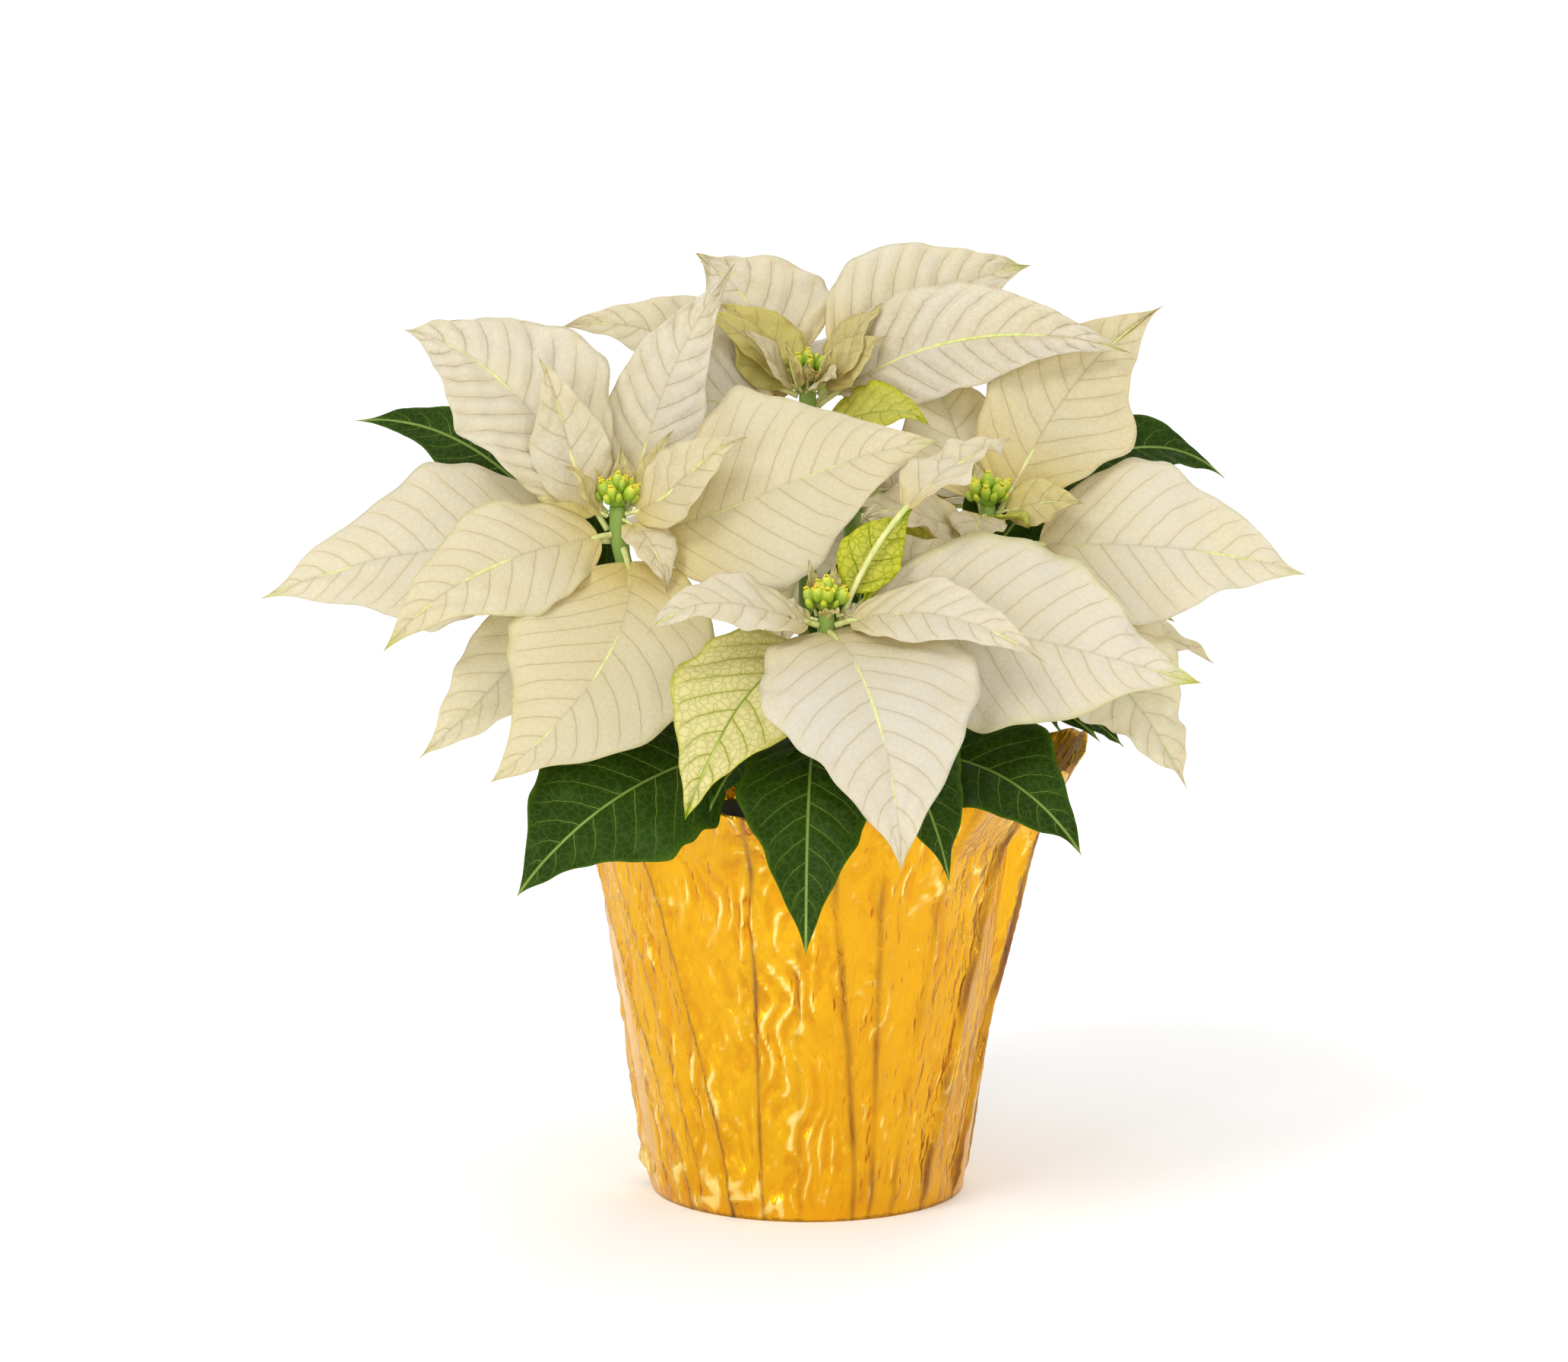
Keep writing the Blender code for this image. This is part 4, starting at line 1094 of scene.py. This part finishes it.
def flap_lift(front, height):
    """How far the loose edge stands off the pot, and how deep in its shadow the foil is."""
    low, high = FLAP_HEIGHTS
    share = clamp((height - low) / (high - low)) ** 0.8
    gap = front - FLAP_FRONT
    rise = clamp((gap + 1.0) / 5.0)
    lift = FLAP_LIFT * share * rise * math.exp(-max(gap - 4.0, 0.0) / 16.0)
    inset = -3.0 * share * math.exp(min(gap, 0.0) / 8.0) * (1 - rise)
    shadow = clamp((gap - 4.0) / 1.5) * clamp((8.0 + 7.0 * share - gap) / 3.0)
    return lift + inset, shadow * min(share * 3.0, 1.0)


print("foil overlaps:", len(OVERLAPS))

# %% Shape of the foil
# points round the pot, and rows of them up to the edge of the collar
FOIL_TURN = 540
FOIL_ROWS = 80
FOIL_HEIGHTS = (0.0, 5.0, 50.0, 94.0, 107.0, 117.0, 128.0)
FOIL_RADII = (46.0, 47.2, 54.0, 61.4, 64.5, 71.5, 80.0)
COLLAR_FOOT, COLLAR_TOP = 107.0, 128.0
# upright strokes round the pot
STROKES = 76
# radius that the foil keeps outside of, at the bottom, and how fast it grows with height
POT_CLEAR = (46.1, 0.149)


def foil_point(turn, row):
    """Point of the foil's outer face, its painted shade at a crease or in the loose edge's shadow, and its
    height in the wrinkles, which sets their painted highlights and painted shade.
    """
    front = 360.0 * turn / FOIL_TURN - 180.0
    angle = math.radians(front) - math.pi / 2
    height = COLLAR_TOP * (row / (FOIL_ROWS - 1))
    radius = float(np.interp(height, FOIL_HEIGHTS, FOIL_RADII))
    collar = clamp((height - COLLAR_FOOT) / (COLLAR_TOP - COLLAR_FOOT))
    facing = math.exp(-((front / 42.0) ** 2))
    radius -= collar * facing * 9.0
    step, dark = panels_at(front, height)
    foot = min(height / 8.0, 1.0)
    x, y = math.cos(angle) * radius, math.sin(angle) * radius
    # strokes bent by a swirl and broken into lengths, ridges between them, and busy and calm patches
    swirl = 1.7 * hills(x / 15.0, y / 15.0, height / 17.0)
    swirl += 0.6 * hills(x / 7.0, y / 7.0, height / 9.0 + 50.0)
    stroke = 1.0 - 2.3 * abs(math.sin(math.pi * (STROKES * front / 360.0 + swirl))) ** 0.9
    broad = ridged(x / 10.0 + swirl, y / 10.0 + swirl, height / 30.0 + 20.0)
    small = ridged(x / 4.5, y / 4.5 + swirl, height / 5.0 + 9.0)
    busy = max(clamp(0.8 + 1.2 * hills(x / 20.0, y / 20.0, height / 26.0 + 4.0)), 0.4)
    middle = math.exp(-(((front + 4.0) / 12.0) ** 2))
    length = clamp(0.5 + 2.6 * hills(x / 5.0, y / 5.0, height / 15.0 + 60.0))
    length = min(length + 0.35 * middle, 1.0)
    flap, shadow = flap_lift(front, height)
    busy = (busy + 0.3 * middle) * (1 - shadow) * foot
    # crushed folds low on the pot, where the sheet turns under it
    crush = ridged(x / 9.0, y / 9.0, height / 7.0 + 30.0)
    side = 1.0 if front < -8 or front > 100 else 0.3
    low = math.exp(-(((height - 6.0) / 7.0) ** 2)) * side * min(height / 2.0, 1.0)
    relief = step * (1 - 0.5 * collar) * foot + (0.34 * stroke * length + 0.22 * broad + 0.13 * small) * busy
    relief += 1.3 * crush * low + flap * (1 - collar)
    fold = math.sin(7 * angle + 1.0) * 2.0 + math.sin(13 * angle) * 1.4 + math.sin(22 * angle + 2.0) * 0.8
    radius += relief + collar * fold - 0.6
    radius = max(radius, POT_CLEAR[0] + POT_CLEAR[1] * min(height, COLLAR_FOOT))
    rise = collar * (collar_rise(angle) - 2.0 * facing)
    # painted light from the wrinkles' height: crests lighter, valleys darker, crushed folds and the middle
    # panel a little lighter
    relief_light = 0.42 + (0.42 * stroke * length + 0.16 * broad + 0.16 * small) * busy
    relief_light = relief_light + 0.6 * crush * low + 0.04 * middle
    point = (radius * math.cos(angle), radius * math.sin(angle), height + rise)
    # the crease value is painted shade: the overlap lines and the loose edge's shadow
    return point, max(dark, 0.9 * shadow), relief_light


foil_front, _, _ = foil_point(FOIL_TURN // 2, FOIL_ROWS // 2)
print("front of the foil, half way up:", [round(float(part), 1) for part in foil_front])

# %% Sheet of foil
FOIL_UNDERSIDE = 0.3


def foil_mesh():
    """Wall and collar in rows of points, then rings that close the sheet under the pot."""
    skin = [foil_point(turn, row) for row in range(FOIL_ROWS) for turn in range(FOIL_TURN)]
    faces = wall_faces(FOIL_ROWS, FOIL_TURN)
    foot = [point for point, _, _ in skin[:FOIL_TURN]]
    first = 0
    for k, share in enumerate((0.985, 0.9, 0.6, 0.3)):
        start = len(skin)
        for x, y, _ in foot:
            crinkle = 0.25 * hills(x * share, y * share, 3.0, 0.3) * min(k, 1)
            skin.append(((x * share, y * share, FOIL_UNDERSIDE + crinkle), 0.0, 0.4))
        for a in range(FOIL_TURN):
            b = (a + 1) % FOIL_TURN
            faces.append((first + b, first + a, start + a, start + b))
        first = start
    faces.extend((first + (turn + 1) % FOIL_TURN, first + turn, len(skin)) for turn in range(FOIL_TURN))
    skin.append(((0.0, 0.0, FOIL_UNDERSIDE), 0.0, 0.4))
    points, crease_shades, relief_lights = zip(*skin)
    mesh = new_mesh("foil_sheet", points, faces)
    # crease holds the painted shade of the overlaps, relief the painted light from the wrinkles' height
    for label, values in (("crease", crease_shades), ("relief", relief_lights)):
        mesh.attributes.new(name=label, type="FLOAT", domain="POINT").data.foreach_set("value", values)
    shade_smooth(mesh)
    return mesh


foil_sheet = foil_mesh()
print("foil:", len(foil_sheet.polygons), "faces")

# %% Foil finish
foil_look = Finish(
    "gold_foil", Metallic=0.95, Roughness=0.3, Specular_IOR_Level=0.5, Coat_Weight=0.2, Coat_Roughness=0.12
)
foil_crease_shade = foil_look.add("Attribute", attribute_name="crease").outputs["Fac"]
foil_relief_light = foil_look.add("Attribute", attribute_name="relief").outputs["Fac"]
foil_patches = foil_look.cloud(24.0, 4.0, (1.0, 1.0, 0.4))
foil_warm = foil_look.step(foil_patches, 0.35, 0.7)
foil_colour = foil_look.blend(foil_warm, (0.81, 0.43, 0.005), (0.76, 0.365, 0.004))
# painted shade in the wrinkles' valleys and painted highlights on their crests
foil_valley_shade = foil_look.step(foil_relief_light, 0.42, 0.1)
foil_colour = foil_look.blend(foil_look.sum("MULTIPLY", foil_valley_shade, 0.5), foil_colour, (0.66, 0.25, 0.003))
foil_crest_highlight = foil_look.step(foil_relief_light, 0.56, 0.86, 0.0, 0.95)
foil_colour = foil_look.blend(foil_crest_highlight, foil_colour, (1.0, 0.76, 0.22))
# painted shade along the overlaps and in the loose edge's shadow, dark brown
foil_colour = foil_look.blend(foil_look.sum("MULTIPLY", foil_crease_shade, 0.97), foil_colour, (0.17, 0.045, 0.003))
foil_broad = foil_look.cloud(150.0, 3.0, (1.0, 1.0, 0.3))
foil_ridge = foil_look.sum("ABSOLUTE", foil_look.sum("SUBTRACT", foil_broad, 0.5))
foil_look.wire(
    Base_Color=foil_colour,
    Normal=foil_look.bump(foil_ridge, 0.006, 0.6),
    Roughness=foil_look.step(foil_look.cloud(60.0, 3.0), 0.3, 0.8, 0.24, 0.38),
    # less metal where the painted crease shade lies, so that it shows dark
    Metallic=foil_look.sum("MULTIPLY_ADD", foil_crease_shade, -0.3, 0.95),
)

foil_piece = finish_piece("foil_sheet", foil_sheet, (foil_look,), "foil_wrap")
foil_skin = foil_piece.modifiers.new("thickness", "SOLIDIFY")
foil_skin.thickness = 0.25 * MM
foil_skin.offset = -1.0
print("foil finish:", len(foil_look.tree.nodes), "nodes")

# %% [markdown]
# ## Pot and soil
#
# The pot is almost hidden, but from above one sees its rim inside the foil. A profile turned with a Screw
# modifier is the shortest way to a moulded pot. The soil is a disc of points pushed about by noise, with
# crumbs of peat and white grains of perlite scattered on it.

# %% Pot
# radius and height along the pot's wall: out under the floor, up the outside, over the rim, down the inside
POT_PROFILE = [
    (0.5, 0.9), (43.4, 0.9), (44.4, 1.4), (45.2, 3.4), (58.8, 96.0), (59.9, 96.6), (60.2, 97.4),
    (60.2, 104.9), (59.8, 105.8), (59.0, 106.0), (58.5, 105.6), (57.9, 98.0), (57.4, 96.0), (43.7, 4.2),
    (42.6, 2.7), (0.5, 2.7),
]
pot_look = Finish("pot_plastic", Roughness=0.5, Specular_IOR_Level=0.45)
pot_dust = pot_look.step(pot_look.cloud(160.0, 4.0), 0.45, 0.75, 0.0, 0.5)
pot_look.wire(
    Base_Color=pot_look.blend(pot_dust, (0.04, 0.03, 0.025), (0.10, 0.08, 0.06)),
    Normal=pot_look.bump(pot_look.cloud(1800.0, 1.0), 0.0001, 0.5),
)
pot_mesh = bpy.data.meshes.new("pot_wall")
pot_edges = [(k, k + 1) for k in range(len(POT_PROFILE) - 1)]
pot_mesh.from_pydata([(r * MM, 0.0, z * MM) for r, z in POT_PROFILE], pot_edges, [])
pot_piece = finish_piece("pot_wall", pot_mesh, (pot_look,), "grower_pot")
pot_turn = pot_piece.modifiers.new("turned", "SCREW")
pot_turn.steps = pot_turn.render_steps = 96
pot_turn.use_merge_vertices = True
pot_turn.merge_threshold = 0.00001
pot_turn.use_smooth_shade = True
pot_round = pot_piece.modifiers.new("edges", "EDGE_SPLIT")
pot_round.split_angle = math.radians(50)
print("pot profile points:", len(POT_PROFILE))


# %% Soil
# points in a ring of the disc, and rings of them
SOIL_SIDES = 96
SOIL_RINGS = 26
SOIL_RADIUS = 57.0
SOIL_TOP = 95.0
CRUMBS = 420
# share of the radius and height of the plug's wall under the disc
SOIL_WALL = [(0.985, 88.0), (0.74, 3.0)]


def soil_droop(radius):
    """How much lower the soil lies at a radius than in the middle."""
    return 2.6 * (radius / SOIL_RADIUS) ** 2


def add_crumbs(points, faces, rng):
    """Scatter crumbs on the soil, and give 1 for each face of a white grain and 0 for each face of peat."""
    marks = []
    for _ in range(CRUMBS):
        a, r = rng.uniform(0, 2 * math.pi), 55.0 * math.sqrt(rng.random())
        if r < 7.0:
            continue
        size = rng.uniform(0.5, 1.6)
        white = int(rng.random() < 0.16)
        height = SOIL_TOP - 0.4 - soil_droop(r) + 0.3 * size
        shape = Matrix.Translation((r * math.cos(a), r * math.sin(a), height))
        shape = shape @ Matrix.Rotation(rng.uniform(0, 3), 4, (1, 1, rng.random()))
        shape = shape @ Matrix.Diagonal((1, 0.7, 0.6, 1))
        bm = bmesh.new()
        bmesh.ops.create_icosphere(bm, subdivisions=1, radius=size, matrix=shape)
        marks += [white] * len(bm.faces)
        add_body(points, faces, bm)
    return marks


def soil_mesh(rng):
    """Disc of rough soil on a plug that fills the pot, with crumbs on it."""
    points = []
    for k in range(SOIL_RINGS + 1):
        radius = SOIL_RADIUS * math.sqrt(k / SOIL_RINGS)
        for j in range(SOIL_SIDES):
            a = 2 * math.pi * (j + 0.5 * (k % 2)) / SOIL_SIDES
            x, y = radius * math.cos(a), radius * math.sin(a)
            rough = 0.9 * hills(x, y, 0.0, 0.16) + 0.5 * hills(x, y, 5.0, 0.5)
            points.append((x, y, min(SOIL_TOP - soil_droop(radius) + rough, 95.6)))
    rim = points[-SOIL_SIDES:]
    for share, height in SOIL_WALL:
        points.extend((x * share, y * share, height) for x, y, _ in rim)
    walls = wall_faces(SOIL_RINGS + 1 + len(SOIL_WALL), SOIL_SIDES)
    faces = [(a, d, c, b) for a, b, c, d in walls]
    faces.append(tuple(reversed(range(len(points) - SOIL_SIDES, len(points)))))
    marks = [0] * len(faces)
    marks += add_crumbs(points, faces, rng)
    mesh = new_mesh("soil_crumbs", points, faces)
    mesh.polygons.foreach_set("material_index", marks)
    mesh.update()
    return mesh


soil = soil_mesh(random.Random(5))
print("soil:", len(soil.polygons), "faces")

# %% Soil finish
soil_look = Finish("peat", Roughness=0.92, Specular_IOR_Level=0.2)
soil_damp = soil_look.step(soil_look.cloud(350.0, 5.0), 0.35, 0.7)
soil_look.wire(
    Base_Color=soil_look.blend(soil_damp, (0.03, 0.018, 0.01), (0.11, 0.065, 0.035)),
    Normal=soil_look.bump(soil_look.cloud(700.0, 5.0), 0.0012, 0.9),
)
perlite_look = Finish("perlite", Roughness=0.8)
perlite_shade = perlite_look.step(perlite_look.cloud(900.0, 3.0), 0.3, 0.7)
perlite_look.wire(Base_Color=perlite_look.blend(perlite_shade, (0.62, 0.60, 0.56), (0.82, 0.81, 0.78)))
finish_piece("soil_crumbs", soil, (soil_look, perlite_look), "potting_soil")
print("soil finishes:", soil_look.material.name, "and", perlite_look.material.name)

# %% [markdown]
# ## Floor, light and camera
#
# The plant stands on a plain white floor under broad, soft studio light: a large lamp from the upper left,
# a weaker one from the right and one from behind that makes thin leaves glow. Shiny foil shows what it
# mirrors, so three tall soft boxes at the front give it bright streaks. The camera looks down by nine
# degrees, from far enough away that the pot's sides stay straight.

# %% Floor
FLOOR_RADIUS = 12.0
floor_look = Finish("studio_floor", Roughness=0.9, Specular_IOR_Level=0.1)
floor_shade = floor_look.step(floor_look.cloud(2.0, 2.0), 0.3, 0.7)
floor_look.wire(Base_Color=floor_look.blend(floor_shade, (0.93, 0.93, 0.93), (0.95, 0.95, 0.95)))
bm = bmesh.new()
bmesh.ops.create_circle(bm, cap_ends=True, radius=FLOOR_RADIUS, segments=96)
floor_mesh = bpy.data.meshes.new("studio_floor")
bm.to_mesh(floor_mesh)
bm.free()
floor_mesh.materials.append(floor_look.material)
floor = bpy.data.objects.new("studio_floor", floor_mesh)
bpy.context.scene.collection.objects.link(floor)
print("floor:", 2 * FLOOR_RADIUS, "m across")

# %% Light
world = bpy.data.worlds.new("studio")
bpy.context.scene.world = world
world.use_nodes = True
background = world.node_tree.nodes["Background"]
background.inputs["Strength"].default_value = 1.0
sky = world.node_tree.nodes
sky_parts = sky.new("ShaderNodeSeparateXYZ")
sky_heights = sky.new("ShaderNodeValToRGB")
world.node_tree.links.new(sky.new("ShaderNodeTexCoord").outputs["Generated"], sky_parts.inputs[0])
world.node_tree.links.new(sky_parts.outputs["Z"], sky_heights.inputs[0])
world.node_tree.links.new(sky_heights.outputs["Color"], background.inputs["Color"])
# brightness of the studio from the horizon up to overhead
STUDIO_LEVELS = ((0.0, 0.30), (0.22, 0.42), (0.45, 0.9), (1.0, 0.95))
stops = sky_heights.color_ramp.elements
for height, _ in STUDIO_LEVELS[1:-1]:
    stops.new(height)
for stop, (_, bright) in zip(stops, STUDIO_LEVELS):
    stop.color = (bright, bright, bright, 1.0)


def hang_lamp(light, place, power, target):
    """Put a lamp at a place and turn it towards the target."""
    light.energy = power
    lamp = bpy.data.objects.new(light.name, light)
    lamp.location = place
    lamp.rotation_euler = (Vector(target) - Vector(place)).to_track_quat("-Z", "Y").to_euler()
    bpy.context.scene.collection.objects.link(lamp)


def soft_sun(name, place, power, softness, colour=(1.0, 1.0, 1.0)):
    """Even light from the direction of place; softness is its width in degrees."""
    light = bpy.data.lights.new(name, "SUN")
    light.angle = math.radians(softness)
    light.color = colour
    hang_lamp(light, place, power, (0.0, 0.0, 0.0))


def strip_lamp(name, place, width, height, power):
    """Tall soft box that shows as a bright streak in shiny foil."""
    light = bpy.data.lights.new(name, "AREA")
    light.shape = "RECTANGLE"
    light.size, light.size_y = width, height
    hang_lamp(light, place, power, (0.0, 0.0, 0.1))


soft_sun("key_light", (-0.9, -1.1, 1.5), 0.96, 22.0, (1.0, 0.985, 0.96))
soft_sun("side_light", (1.5, -0.6, 0.7), 0.3, 30.0)
soft_sun("back_light", (0.4, 1.3, 1.2), 0.65, 30.0)
strip_lamp("strip_left", (-1.3, -2.0, 0.5), 0.3, 0.9, 10.0)
strip_lamp("strip_right", (1.1, -2.2, 0.5), 0.25, 0.9, 7.0)
strip_lamp("strip_middle", (-0.15, -2.6, 0.6), 0.3, 1.0, 8.0)
bpy.context.scene.view_settings.view_transform = "Standard"
print("lamps:", ", ".join(light.name for light in bpy.data.lights))

# %% Camera
AIM = Vector((-0.007, 0.0, 0.151))
DISTANCE = 1.6
DOWN = math.radians(9.0)
lens = bpy.data.cameras.new("camera")
lens.sensor_width = 36.0
lens.lens = 125.43
lens.clip_end = 50.0
camera = bpy.data.objects.new("camera", lens)
camera.location = AIM + DISTANCE * Vector((0.0, -math.cos(DOWN), math.sin(DOWN)))
camera.rotation_euler = (math.pi / 2 - DOWN, 0.0, 0.0)
bpy.context.scene.collection.objects.link(camera)
bpy.context.scene.camera = camera
print("camera height:", round(camera.location.z, 3), "m")
